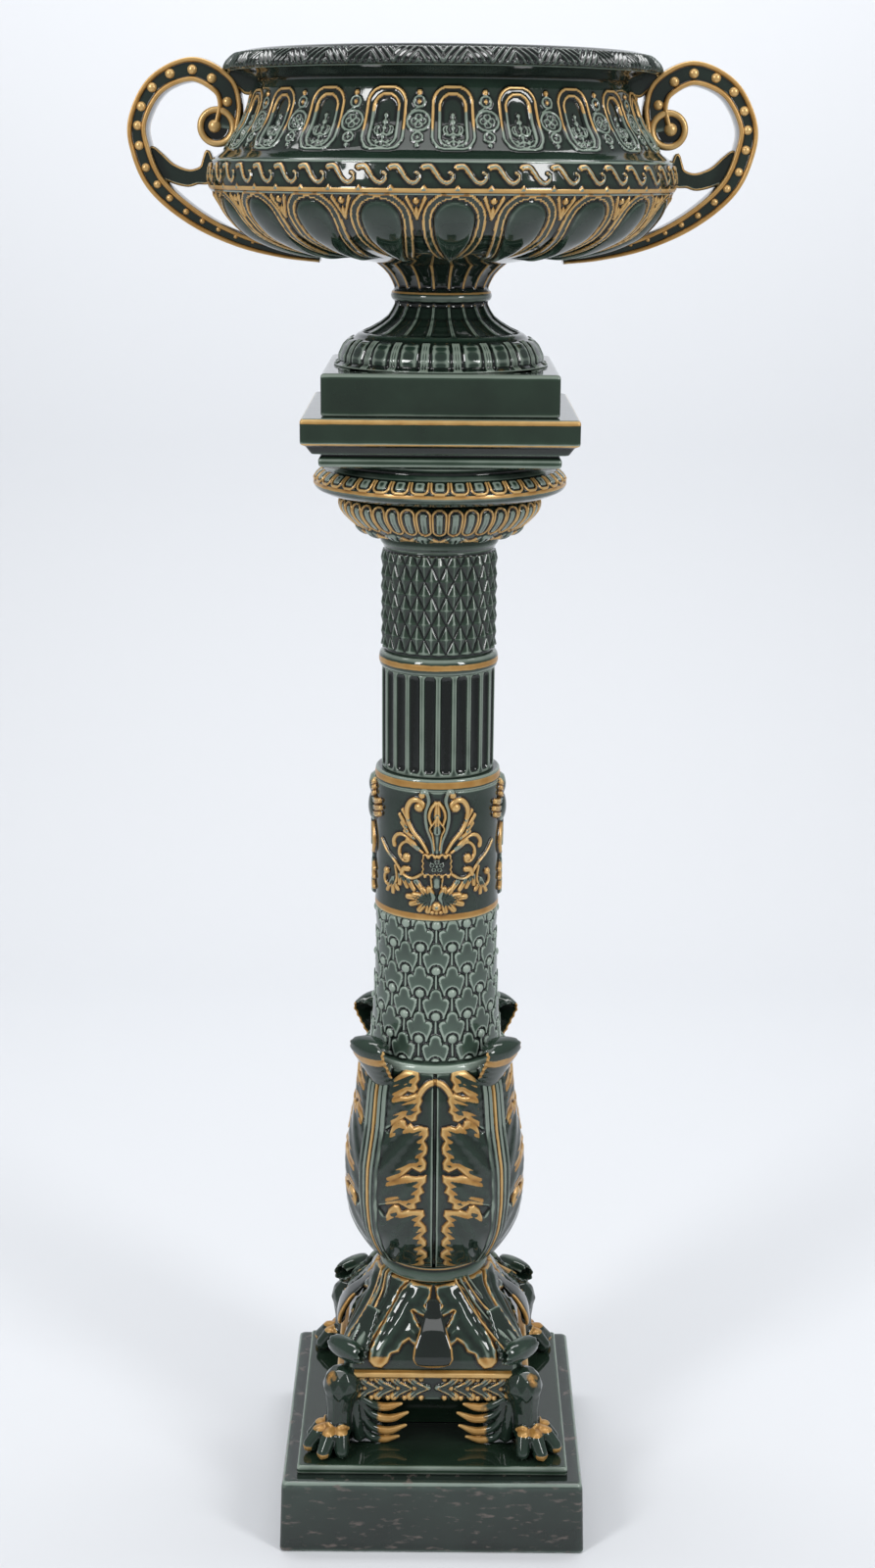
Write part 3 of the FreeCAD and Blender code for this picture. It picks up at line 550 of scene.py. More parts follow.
def draw_collar(relief, angle, reach, z):
    """Tall rounded panels with a candelabrum in each, and a chain of roundels between them."""
    y = relief.y
    x = np.radians(fold(angle, PITCH, 2.7)) * COLLAR_REACH
    flare = 1 + 0.62 * smooth(y, 15, 3)
    outer = box_gap(x / flare, y - 40, 18.5, 31, 15)
    shown = (y > 5.5) & (y < 72)
    relief.raise_to(1.5 * dome(outer, 1.3), (np.abs(outer) < 1.3) & shown, smooth(y, 12, 46) * 0.95,
                    0.35)
    hollow = box_gap(x, y - 38, 12.3, 27, 12.3)
    relief.trench(hollow + 0.6, 2.6)
    relief.raise_to(1.1 * dome(hollow, 1.25), np.abs(hollow) < 1.25, smooth(y, 44, 52), 0.3)
    leaf = Relief(np.abs(x), y)
    leaf.line([(0, 15), (0, 44)], 1.0, 1.6, 0, 0.8)
    for level, size in ((23, 2.1), (33, 2.4), (39, 2.8), (45.5, 2.2)):
        leaf.ball(0, level, size, 2.4)
    leaf.line(curved([(0, 27), (4, 25), (8, 28), (8.6, 33), (5.8, 35)]), 1.5, 2.2, 0, 0.8)
    leaf.line(curved([(5, 27), (6, 32), (4, 36)]), 1.2, 2.0, 0, 0.6)
    leaf.line(curved([(0, 19), (5, 17), (9, 20)]), 1.3, 2.0, 0, 0.7)
    for place in ((5.2, 15.5), (3.4, 12.4), (7.4, 12.6), (5.4, 19)):
        leaf.ball(place[0], place[1], 1.7, 2.0)
    lifted = leaf.height > 0
    relief.height = relief.height + leaf.height
    relief.tone = np.where(lifted, 0.35, relief.tone)
    u = np.radians(fold(angle, PITCH, 11.7)) * COLLAR_REACH
    chain = Relief(u, y)
    chain.ball(0, 66, 2.4, 2.4, 1.0)
    chain.ring(0, 57.5, 5.0, 1.2, 1.6, 0.2)
    chain.ball(0, 57.5, 2.1, 1.8, 1.0)
    chain.line(curved([(4.6, 59), (4, 53.5), (-2, 51), (-7, 48)]), 1.1, 1.4)
    chain.ring(0, 38.5, 10.2, 1.5, 1.8)
    for px, py in ((3.7, 0), (-3.7, 0), (0, 3.7), (0, -3.7)):
        chain.ring(px, 38.5 + py, 3.1, 1.0, 1.5)
    chain.ball(0, 38.5, 2.1, 2.4)
    chain.ring(0, 21.5, 4.6, 1.2, 1.6)
    chain.ball(0, 21.5, 1.8, 1.6)
    chain.ball(0, 13.5, 2.3, 2.0)
    relief.raise_to(chain.height, (chain.height > 0) & (np.abs(u) < 15), chain.gold, 0.35)


def draw_rim(relief, angle, reach, z):
    """Fanned leaf tufts cut into the slope of the rolled lip."""
    y = relief.y
    x = np.radians(fold(angle, 12)) * RIM_REACH
    level = y - 42
    lean = np.abs(x) - 0.75 * level
    stroke = np.cos(lean * TURN / 6.8)
    shown = smooth(y, 31.5, 34) * (1 - smooth(y, 50, 53))
    relief.height = relief.height + (1.3 * stroke + 0.9 * dome(level, 11)) * shown
    relief.tone = relief.tone - 0.42 * shown - 0.25 * smooth(y, 52,
                                                             55) + 0.5 * (1 - smooth(y, 26, 28))
    relief.cord(y - 29.0, 1.3, 0.9, 0, 0.9)


U, P = "jardiniere", "pedestal"

wheel("bowl_belly", [(60, 1381.5), (66.3, 1382.9), (98.9, 1388.2), (150, 1396), (175, 1402),
                     (200.5, 1413.4), (215.4, 1429), (224.6, 1444.4), (229.8, 1453.5)], 1440, 110,
      draw_belly, "gilt_leaf_glaze", U, ["bowl"], rounding=12)
wheel("bowl_band", [(229.8, 1451.5), (232.4, 1456), (233.2, 1464), (232.2, 1472), (229, 1482.5),
                    (222, 1487)], 1440, 42, draw_band, "gilt_leaf_glaze", U, ["bowl"])
wheel("bowl_collar", [(223.5, 1485.5), (216, 1491), (208, 1504), (200, 1515), (192.9, 1532),
                      (189.2, 1546), (185.9, 1554)], 1400, 68, draw_collar, "gilt_leaf_glaze", U,
      ["bowl"], rounding=5)
wheel("bowl_rim", [(185.6, 1553), (187.5, 1556.5), (204.6, 1563), (214, 1565.6), (215.3, 1568),
                   (213, 1572.5), (206, 1579.2), (197, 1583.6), (189, 1584), (183.5, 1581),
                   (180, 1574), (177.5, 1566)], 1440, 96, draw_rim, "dark_glaze", U, ["bowl"],
      rounding=3)
wheel("bowl_inside", [(177.3, 1567), (176.4, 1552), (179, 1540), (187.4, 1520), (199.1, 1500),
                      (212.5, 1480), (216, 1460), (214.5, 1446), (203, 1430), (150, 1412),
                      (60, 1404), (0.5, 1402.8)], 256, 60, None, "green_glaze", U, ["bowl"],
      rounding=10)


def draw_socle(relief, angle, reach, z):
    """Flutes above and below the neck ring, and reeded blocks round the foot."""
    x = np.radians(fold(angle, PITCH)) * reach
    cell = np.radians(PITCH) * reach
    upper = smooth(z, 1357.5, 1360) * (1 - smooth(z, 1381.5, 1383))
    half = 0.5 - np.abs(x) / cell
    relief.height = relief.height - 2.4 * dome(1 - 2 * half, 0.9) * upper * (half > 0)
    rib = np.abs(fold(angle, PITCH, 9))
    relief.gold = np.maximum(relief.gold, 0.75 * (rib < 1.3) * upper * smooth(reach, 40, 50))
    low = smooth(z, 1313.5, 1316.5) * (1 - smooth(z, 1343, 1346))
    relief.height = relief.height - 2.2 * dome(1 - 2 * half, 0.86) * low * (half > 0)
    relief.gold = np.maximum(relief.gold, 0.5 * (rib < 1.6) * smooth(z, 1334, 1344) * low)
    tiles = (z > 1283) & (z < 1308.5)
    gap = box_gap(x, (z - 1296) * 1.12, 8.6, 12.2, 3)
    relief.raise_to(1.7 * smooth(-gap, -0.2, 1.6) + 0.7 * dome(gap, 1.0), (gap < 1.0) & tiles, 0,
                    0.0)
    u = np.radians(fold(angle, PITCH, 9)) * reach
    for place in (-2.9, 0, 2.9):
        reed = (u - place * reach / 103) / 1.25
        relief.raise_to(1.3 * dome(reed, 1), (np.abs(reed) < 1) & tiles, 0, 0.45)
    band(relief, z, 1353.2, 1355.4, 0.9)
    band(relief, z, 1381.6, 1383.2, 0.7)
    band(relief, z, 1282.4, 1284.6, 0.35)


wheel("urn_socle", [(96, 1281.5), (109, 1281.6), (110, 1282.6), (106, 1284.2), (103.1, 1285.4),
                    (103.2, 1291.8), (98.9, 1301), (93, 1307), (88, 1309.6), (84.8, 1312.8),
                    (71.8, 1318.6), (61.8, 1324.5), (54.8, 1330), (50.8, 1336), (47.8, 1342),
                    (47.4, 1345), (50.2, 1347), (51.4, 1350.7), (50.2, 1354.6), (47.8, 1357),
                    (48.2, 1359.5), (50.6, 1365), (54, 1371), (59.4, 1377), (66.3, 1382.7)], 640,
      150, draw_socle, "gilt_leaf_glaze", U, ["socle"], [(36, 1382.7), (36, 1320), (80, 1281.5)],
      1.2)
block("urn_plinth", [(104, 1240.3), (116.4, 1240.3), (117.2, 1242), (117.2, 1279.5),
                     (115.2, 1281.5), (100, 1281.6)],
      30, 40, lambda r, x, a, z: band(r, z, 1279.2, 1281.2, 0.0, 0.5), "green_glaze", U,
      ["foot_plinth"],
      [(90, 1281.5), (90, 1275), (104, 1268)], 3.0, 6, 1.4)


# ---------------------------------------------------------------- the capital
def draw_abacus(relief, across, reach, z):
    band(relief, z, 1235.2, 1239.2, 1.0)
    band(relief, z, 1213.6, 1215.6, 0.9)
    relief.tone = relief.tone + 0.08 * smooth(z, 1190, 1192) * (1 - smooth(z, 1200, 1202))
    # Painted shade: the cove under the abacus's overhang, which faces down, is darkened.
    relief.tone = relief.tone - 0.5 * smooth(z, 1204, 1206) * (1 - smooth(z, 1212, 1213.5))


block("abacus", [(104, 1189.2), (114, 1189.4), (119.5, 1192), (120, 1198), (117, 1202.5),
                 (118.5, 1204), (126, 1204.3), (131.5, 1212.4), (136.3, 1214.8), (136.7, 1217),
                 (136.7, 1237.5), (134.8, 1239.8), (110, 1239.9)], 60, 90, draw_abacus,
      "green_glaze", P, ["capital_abacus"], [(70, 1239.9), (70, 1189.2)], 3.0, 7, 1.2)


def draw_echinus(relief, angle, reach, z):
    """A row of eggs, each in a gilt hoop, under a gilt bead."""
    x = np.radians(fold(angle, 9)) * reach
    y = relief.y - 57.5
    gap = box_gap(x, y, 5.6, 6.2, 3.2)
    relief.raise_to(1.9 * smooth(-gap, -0.2, 2.0), gap < 0, 0, 0.12)
    hoop = box_gap(x, y - 1.5, 8.2, 9.2, 5)
    relief.raise_to(1.8 * dome(hoop / 1.2, 1), (np.abs(hoop) < 1.2) & (y < 6.0) & (y > -9), 1.0)
    band(relief, relief.y, 44.8, 48.2, 1.0)
    # Painted light: a pale band above the eggs, made bright to lift the shade under the abacus.
    band(relief, relief.y, 66.5, 74, 0.0, 0.8)


wheel("echinus", [(90, 1150.2), (108, 1150.4), (120, 1152.5), (128.6, 1156.7), (131.2, 1161),
                  (130.8, 1164.6), (126.5, 1171), (121, 1175.5), (114.5, 1179), (111, 1183),
                  (113.8, 1188), (113, 1189.2)], 1600, 100, draw_echinus, "gilt_leaf_glaze", P,
      ["capital_echinus"], bore(1150.2, 1189), 2.0)


def draw_cushion(relief, angle, reach, z):
    """Tongues in gilt hoops round the top, and leaf tufts under them."""
    x = np.radians(fold(angle, 9)) * reach
    y = relief.y
    top = relief.y[-1, 0] - 16
    narrow = reach / 104
    gap = box_gap(x / narrow, y - (top - 14.5), 4.1, 14.5, 4.1)
    shown = smooth(y, 19, 22)
    relief.raise_to((1.4 * smooth(-gap, -0.2, 1.8)) * shown, (gap < 0) & (y > 18), 0, 0.25)
    hoop = box_gap(x / narrow, y - (top - 13.5), 6.9, 16.6, 6.9)
    relief.raise_to(1.9 * dome(hoop / 1.2, 1) * shown, (np.abs(hoop) < 1.2) & (y > 18), 1.0)
    u = np.radians(fold(angle, 22.5, 11)) * reach
    leaf = Relief(np.abs(u), y)
    leaf.frond((0, 24), (0, 8), 7, 4.5, 4.2, 0.62)
    leaf.frond((3, 24), (8.5, 12), 4, 3, 3.0, 0.4)
    leaf.frond((6, 25), (13.5, 17), 3, 2.4, 2.6, 0.4)
    relief.raise_to(leaf.height, leaf.height > 0, leaf.gold)


wheel("cushion", [(60, 1112.2), (78, 1112.4), (81.7, 1114.5), (87.8, 1120), (95.4, 1126.6),
                  (101.4, 1133), (104, 1139), (103.4, 1145), (99.5, 1148.6), (90, 1150)], 1280, 62,
      draw_cushion, "gilt_leaf_glaze", P, ["capital_cushion"], bore(1112.2, 1150), 3.0)


# ---------------------------------------------------------------- the column
FLUTES = 22


def draw_ring(low, high, tone=0.0):
    def draw(relief, angle, reach, z):
        band(relief, z, low, high, 1.0)
        relief.tone = relief.tone + tone
    return draw


wheel("astragal", [(52, 1095), (58.5, 1095.2), (58.9, 1097), (61.4, 1100), (62.2, 1103),
                   (62.1, 1107.5), (60.6, 1110), (62, 1111.9), (60, 1112)], 256, 24, None,
      "pale_glaze", P, ["astragal"], bore(1095, 1112), 1.2, material="green_glaze")


def draw_diamonds(relief, angle, reach, z):
    """Staggered rows of pointed scales, each like a kite with its keel up."""
    tall = 15.3
    row = (z - 990.5) / tall
    for shift in (0, 1):
        x = np.radians(fold(angle, 15, 7.5 * shift)) * reach
        y = fold(row, 2, shift) * tall
        upper = np.where(y > 0, np.abs(y) / 14.5, np.abs(y) / 15.2)
        share = np.abs(x) / 7.4 + upper
        keel = 3.4 * (1 - share) + 0.7 * smooth(1 - share, 0, 0.12)
        # Painted light and shade: each scale's upper facets, which face up, are lighter and its
        # lower facets darker.
        relief.raise_to(keel, (share < 1) & (z > 989) & (z < 1091.5), 0, 0.30 * (y > 0) - 0.1)
    relief.tone = relief.tone - 0.28


wheel("diamond_drum", [(56, 985), (57, 985.4), (57.2, 988), (57.2, 1092), (57.6, 1095), (56, 1095)],
      520, 130, draw_diamonds, "green_glaze", P, ["diamond_drum"], bore(985, 1095), 1.0)
wheel("gilt_ring", [(54, 968), (60.5, 968.2), (62, 970), (63, 974), (63, 979), (61.8, 983),
                    (59.5, 985), (54, 985)], 256, 24, draw_ring(973.2, 979.6), "worn_gilding", P,
      ["gilt_ring"], bore(968, 985), 1.5, material="gilt_leaf_glaze")


def draw_flutes(relief, angle, reach, z):
    """Hollow flutes with round ends."""
    turn = 360 / FLUTES
    x = np.radians(fold(angle, turn, turn / 2)) * 60
    y = z - 914.5
    gap = box_gap(x, y, 6.2, 53.0, 5.0)
    inside = np.clip(-gap / 5.9, 0, 1)
    relief.height = relief.height - 3.6 * np.sqrt(np.clip(1 - (1 - inside) ** 2, 0, 1))
    relief.tone = relief.tone - 0.35 * (gap < -1) - 0.08


wheel("fluted_drum", [(56, 858), (59.6, 858.3), (60, 861), (60.2, 965), (59.6, 968), (56, 968)],
      880, 90, draw_flutes, "green_glaze", P, ["fluted_drum"], bore(858, 968), 1.0)


def draw_column_ring(relief, angle, reach, z):
    band(relief, z, 848.4, 855.4, 1.0)
    band(relief, z, 856.0, 857.6, 0.0, 0.7)


wheel("column_ring", [(60, 845), (67.2, 845.1), (67.2, 850), (66.4, 856.4), (65.4, 857.8),
                      (57, 858)], 256, 40, draw_column_ring, "pale_glaze", P, ["column_ring"],
      bore(845, 858), 1.0, material="gilt_leaf_glaze")


DRUM = 67


def laid(point):
    """Where a point that is seen from the front lies on the unrolled drum."""
    return DRUM * math.asin(min(0.98, point[0] / DRUM)), point[1]


def laid_on(points):
    return curved([laid(point) for point in points])


def draw_scrolls(relief, angle, reach, z):
    """A gilt arabesque on the front and the back, and a leafy boss on each side."""
    turn = fold(angle, 180)
    x = np.abs(np.radians(turn)) * DRUM
    level = (z - 702.9) / 0.948
    art = Relief(x, level)
    art.line(laid_on([(9.5, 80), (16.7, 93), (26.2, 105), (31, 118), (31.5, 130), (27, 138.5),
                      (20.2, 140), (15.5, 135), (18, 130)]), 1.8, 3.0, 0.75, 3.6)
    art.ball(*laid((19, 132)), 5.4, 4.4, 1.0)
    art.line(laid_on([(3.6, 80), (4.8, 92), (10.7, 110), (11.9, 126), (8.9, 139), (10.7, 148),
                      (15, 150), (17, 145)]), 2.0, 3.4, 0.35, 2.2, 0.35)
    art.ball(*laid((15.8, 146)), 3.8, 4.0, 1.0)
    for root, tip, size in (((31, 103), (37, 112), 2.6), ((32, 108), (39, 121), 2.8),
                            ((30, 116), (36, 127), 2.4),
                            ((24, 96), (34, 103), 2.4)):
        art.frond(laid(root), laid(tip), size * 0.9, size * 0.8, 3.2, 0.15)
    art.line(laid_on([(15, 80), (24, 87.5), (32, 90.6), (38, 85), (39.5, 76), (35.7, 69),
                      (31, 68.5), (29.8, 73)]), 1.7, 3.0, 0.7, 2.2)
    art.ball(*laid((32, 73)), 4.4, 4.2, 1.0)
    art.line(laid_on([(22, 88), (28, 94), (36, 98), (42, 96.5), (45.5, 90), (45, 84)]), 1.3, 2.6,
             1.0, 2.8)
    art.frond((20, 84), (32, 93), 3.0, 3.0, 3.4, 0.5)
    art.line(laid_on([(15, 55), (26, 48.6), (35.7, 52.5), (44, 65), (52, 74), (58, 86)]), 2.0, 2.8,
             0.6, 1.8)
    art.line(laid_on([(37, 52), (35, 58), (31, 59)]), 2.6, 3.4, 1.0, 3.6)
    for root, tip in (((35, 48), (31, 38)), ((30, 47), (24, 36)), ((22, 46), (16, 37)),
                      ((38, 50), (39, 40))):
        art.frond(laid(root), laid(tip), 3.6, 2.6, 3.0, 0.35)
    art.line(laid_on([(44, 60), (42, 46), (46, 36), (53, 36), (55, 44), (52.5, 52)]), 1.5, 2.6,
             0.75, 2.2)
    art.ball(*laid((53, 51)), 4.2, 4.0, 1.0)
    for tip in ((41, 33), (46, 28), (52, 29)):
        art.frond(laid((46, 44)), laid(tip), 3.2, 2.4, 2.8, 0.5)
    art.line([(0, 80), (0, 112)], 3.0, 3.6, 0.0, 5.6, 0.3)
    art.line(curved([(2.5, 84), (4.5, 100), (7.4, 108), (3.5, 115), (0, 122)]), 1.1, 4.2, 1.0)
    art.frond((0, 104), (0, 122), 5.2, 2.4, 4.4, 0.45)
    art.line(curved([(6, 112), (8.4, 122), (6.4, 131), (1.5, 138)]), 1.4, 3.6, 1.0, 2.2)
    art.frond((0, 118), (0, 136), 4.0, 3.0, 3.6, 0.35)
    for tip in ((8, 38), (15, 37), (24, 30), (31, 27), (27, 19), (18, 13), (9, 12)):
        start = (8, 27) if tip[0] > 9 else (6, 28)
        art.frond(start, tip, 5.5, 3.4, 3.8, 0.6)
    art.line([(0, 42), (0, 54)], 4.2, 3.0, 0.0, 5.5, 0.4)
    art.line([(5, 40), (6.5, 53)], 1.2, 3.0, 0.7)
    art.ball(0, 17, 6.0, 4.6, 0.9)
    art.ball(0, 17, 2.6, 5.6, 0.0, 0.6)
    for place in (4.5, 0):
        art.ball(place, 10.5, 2.6, 3.2, 1.0)
    boss = box_gap(x, level - 65.5, 14.6, 11.4, 3)
    ripple = 0.9 * np.sin(level * 0.95) + 0.9 * np.sin(x * 0.9)
    edge = boss + ripple
    art.raise_to(4.6 * dome(edge, 1.5) + 0.8, (np.abs(edge) < 1.5), 1.0)
    art.raise_to(3.2 + 1.6 * smooth(-boss, 1, 9), edge < -1.4, 0.0, -0.6)
    for step in range(5):
        for side in (5.0, -5.0):
            petal = step * TURN / 5
            art.ring(side * math.sin(petal), 65.5 + 5.0 * math.cos(petal), 2.0, 0.9, 6.4, 0, 0.5)
    art.ball(0, 65.5, 2.2, 6.8, 0, 0.5)
    side = np.radians(fold(angle, 180, 90)) * DRUM
    wing = Relief(np.abs(side), level)
    wing.ball(0, 116, 19, 8.0)
    wing.ball(0, 141, 13, 7.0)
    for high, out in ((129, 31), (121.5, 33), (114, 31)):
        wing.frond((9, high - 3), (out, high), 4.4, 3.2, 5.0, 0.5, 0.08)
    for high in (134, 141, 147):
        wing.frond((0, high - 4), (14, high), 4.6, 3.2, 5.4, 0.5, 0.1)
    wing.line(curved([(2, 96), (8, 90), (13, 80), (12, 68), (6, 62)]), 3.4, 4.6, 0.8, 2.0)
    wing.line([(0, 105), (0, 70)], 6.0, 5.2, 0.2, 3.0)
    for high in (92, 84, 50, 40, 28):
        wing.frond((2, high), (11, high - 7), 4.2, 3.0, 4.6, 0.45)
    wing.line([(0, 64), (0, 14)], 5.0, 4.0, 0.3, 4.0)
    for piece in (art, wing):
        relief.raise_to(piece.height, piece.height > 0, piece.gold, piece.tone)
    relief.tone = relief.tone + 0.05
    band(relief, z, 703.4, 710.2, 1.0)


wheel("scroll_drum", [(60, 702), (66.6, 702.2), (67.2, 704), (67, 712), (66.4, 760), (66.6, 834),
                      (67, 845), (60, 845)], 960, 200, draw_scrolls, "gilt_leaf_glaze", P,
      ["scroll_drum"], bore(702, 845), 1.0)


def draw_scales(relief, angle, reach, z):
    """Overlapping trefoil leaves with a berry on a stem between each pair."""
    rise = 25.7
    shown = (z > 544.5) & (z < 701)
    for shift in (0, 1):
        x = np.radians(fold(angle, 30, 15 * shift)) * reach
        start = 549 - rise * shift
        y = fold(z, 2 * rise, start + 12) + 12
        across = np.abs(x)
        lobes = np.hypot(x, y - 18.4) - 6.7
        lobes = np.minimum(lobes, box_gap(x, y - 10, 7.6, 9.0, 4))
        lobes = np.minimum(lobes, np.hypot(across - 9.4, y - 9.0) - 5.6)
        lobes = np.minimum(lobes, np.maximum((across - 13.4) + (2.0 - y) * 0.35, np.abs(y + 1.5)
                                             - 8.0))
        top = smooth(-lobes, -0.2, 1.5) * 1.9 + 1.0 * smooth(y, -6, 24)
        relief.raise_to(top, (lobes < 0) & shown, 0, 0.34 * smooth(y, 24, 2) - 0.06)
    for shift in (0, 1):
        u = np.radians(fold(angle, 30, 15 * shift)) * reach
        y = fold(z, 2 * rise, 549 - rise * shift + 39) + 39
        away = np.hypot(u, y - 45)
        relief.height = np.where((away < 7.2) & shown, np.minimum(relief.height, 0.2),
                                 relief.height)
        relief.raise_to(4.2 * dome(away, 5.2), (away < 5.2) & shown, 0, 0.42)
        level = (y > 25.5) & (y < 40.5)
        groove = (np.abs(u) < 2.4) & level & shown
        relief.height = np.where(groove, np.minimum(relief.height, 0.1), relief.height)
        relief.raise_to(1.8 * dome(u, 1.25), (np.abs(u) < 1.25) & level & shown, 0, 0.5)
    relief.tone = relief.tone - 0.12 - 0.65 * (relief.height < 0.35) * (z > 546) * (z < 700)


wheel("scale_drum", [(66, 542), (71.0, 542.2), (71.0, 544), (67.3, 588), (64.8, 634), (63.6, 679),
                     (64.4, 700), (64, 702), (60, 702)], 720, 210, draw_scales, "pale_glaze", P,
      ["scale_drum"], bore(542, 702), 1.2)
wheel("bulb_collar", [(70, 532), (79, 532.2), (80.5, 534), (80.5, 538), (78.6, 541), (72, 542)],
      256, 16, draw_ring(0, 1, 0.12), "pale_glaze", P, ["bulb_collar"], bore(532, 542), 1.4)


# ---------------------------------------------------------------- the bulb and the skirt
def draw_bulb(relief, angle, reach, z):
    """Four tall leaves with gilt lobed edges, and a dark channel up the middle of each face."""
    turn = fold(angle, 90)
    x = np.abs(np.radians(turn)) * reach
    swell = reach / 103
    half = np.radians(45) * reach
    leaf = Relief(x / swell, z)
    rise = 4.2 * smooth(z, 290, 306) * (1 - 0.3 * smooth(z, 500, 530))
    body = 1.6 * smooth(x / swell, 10, 40) * smooth(z, 290, 306)
    for outline in BULB_LEAVES:
        leaf.leaf(outline, 1.0, 7.6, 60.0, 0.09)
    relief.height = body
    relief.raise_to(body + leaf.height * rise, leaf.height > 0.02, leaf.gold, -0.04)
    off_corner = np.abs(half - x) / swell
    for offset, size, lift, gold in ((0, 1.8, 1.7, 1.0), (6.6, 2.7, 1.3, 0.0),
                                     (13.6, 3.2, 1.0, 0.0)):
        gap = off_corner - offset * (0.72 + 0.28 * smooth(z, 330, 480))
        shown = (np.abs(gap) < size) & (z > 296) & (z < 536)
        relief.raise_to(body + rise + lift * dome(gap / size, 1), shown, gold * smooth(z, 300, 320),
                        0.06)
    arch, _ = path_gap(x, z, curved([(20, 503), (15, 513), (8, 521), (0, 524)]))
    relief.raise_to(3.4 * dome(arch / 3.4, 1), arch < 3.4, 0.9)
    relief.press(x, 2.6, 2.0)
    relief.tone = relief.tone - 0.5 * smooth(3.0 - x, 0, 1.5) + 0.10 * smooth(x, 3.2, 4.2) * (x < 7)


BULB_LEAVES = [
    [(64, 520), (40, 536), (30, 538), (23, 534), (21, 526), (25, 521), (22, 516), (27, 511),
     (36, 512), (66, 488)],
    [(64, 505), (36, 508), (25, 512), (18, 509), (16, 503), (19, 497), (17, 491), (22, 487),
     (23, 481), (29, 479), (38, 483), (66, 462)],
    [(82, 470), (58, 464), (54, 474), (49, 480), (42, 482), (37, 480), (35, 475), (31, 478),
     (26, 474), (20, 476), (8, 474), (7, 465), (12, 459), (8, 452), (9, 445), (13, 441),
     (9, 435), (10, 428), (16, 424), (26, 428), (60, 396), (82, 396)],
    [(82, 430), (52, 414), (33, 421), (22, 420), (9, 422), (9, 414), (14, 409), (11, 402),
     (16, 398), (15, 391), (21, 388), (20, 382), (27, 380), (40, 386), (82, 372)],
    [(82, 392), (58, 368), (53, 378), (46, 385), (40, 384), (37, 378), (30, 381), (12, 381),
     (10, 374), (15, 368), (9, 361), (8, 354), (14, 348), (9, 342), (9, 335), (15, 330),
     (9, 323), (9, 316), (16, 311), (14, 303), (50, 292), (82, 296)],
]
BULB = [(57, 290), (60, 291.5), (67.5, 298), (73.4, 305), (80, 315), (87, 327.6), (93.4, 343),
        (96.2, 358), (98.3, 377), (98.4, 401), (97.6, 419), (94.2, 437), (89.7, 460), (87.2, 484),
        (85, 505), (82, 522), (79, 532), (76, 533.4)]
wheel("acanthus_bulb", BULB, 1200, 240, draw_bulb, "gilt_leaf_glaze", P, ["acanthus_bulb"],
      bore(290, 533), 5.0)
wheel("base_ring", [(52, 272), (57, 272.1), (60.6, 273.5), (61.6, 278), (61, 283), (58.4, 287.5),
                    (60, 289.9), (52, 290)],
      256, 24, lambda r, a, d, z: (band(r, z, 272.2, 274.0, 0.9), band(r, z, 287.4, 289.2, 0.8)),
      "pale_glaze", P, ["base_ring"], bore(272, 290), 1.5)


def sweep(name, path, widths, thickness, slot, body, turn, gold, keel, ripple=0.0, material=None):
    """A leaf-like solid along a bent path of (reach, z) standing out from the axis, at an angle."""
    count, sides = 64, 40
    along = lengths_of(path)
    line, even = evenly(curved(path, 12), count)
    share = even / even[-1]
    marks = along / along[-1]
    wide, thick = (np.interp(share, marks, values) for values in (widths, thickness))
    tangent = np.gradient(line, axis=0)
    tangent /= np.linalg.norm(tangent, axis=1, keepdims=True)
    out = np.stack([tangent[:, 1], -tangent[:, 0]], 1)
    angle = np.arange(sides) / sides * TURN
    cos, sin = np.cos(angle), np.sin(angle)
    side = wide[:, None] * cos * (1 + ripple * np.sin(even * 0.75)[:, None])
    push = thick[:, None] * (sin - keel * 2 * cos**2)
    r = line[:, 0][:, None] + out[:, 0][:, None] * push
    z = line[:, 1][:, None] + out[:, 1][:, None] * push
    a = math.radians(turn)
    points = np.stack([r * math.sin(a) + side * math.cos(a), -r * math.cos(a) + side * math.sin(a),
                       z], 2)
    across = np.concatenate([np.tile(cos, count), [0, 0]])
    face = np.concatenate([np.tile(sin, count), [0, 0]])
    place = np.concatenate([np.repeat(share, sides), [0, 1]])
    gilded = gold(across, face, place) if gold else 0 * place
    return dress(tube(name, points, gilded), slot, body, (), material)


def outward(mesh):
    """Turns every face of a closed mesh to look out."""
    work = bmesh.new()
    work.from_mesh(mesh)
    bmesh.ops.recalc_face_normals(work, faces=work.faces)
    work.to_mesh(mesh)
    work.free()
    mesh.validate()
    mesh.shade_smooth()


def tube(name, rings, gold, flip=False):
    """A closed skin over a row of rings, each end drawn in to its middle."""
    rows, sides = rings.shape[:2]
    index = np.arange(rows * sides).reshape(rows, sides)
    rolled = np.roll(index, -1, 1)
    quads = np.stack([index[:-1], rolled[:-1], rolled[1:], index[1:]], 2).reshape(-1, 4)
    faces = (quads[:, ::-1] if flip else quads).tolist()
    for row, tip in ((0, rows * sides), (rows - 1, rows * sides + 1)):
        faces += [[a, b, tip] for a, b in zip(index[row].tolist(), rolled[row].tolist())]
    points = np.concatenate([rings.reshape(-1, 3), rings[[0, -1]].mean(1)])
    mesh = bpy.data.meshes.new(name)
    mesh.from_pydata((points * MM).tolist(), [], faces)
    outward(mesh)
    finish_mesh(mesh, gold, 8, 1.3, -0.12)
    return placed(name, mesh)


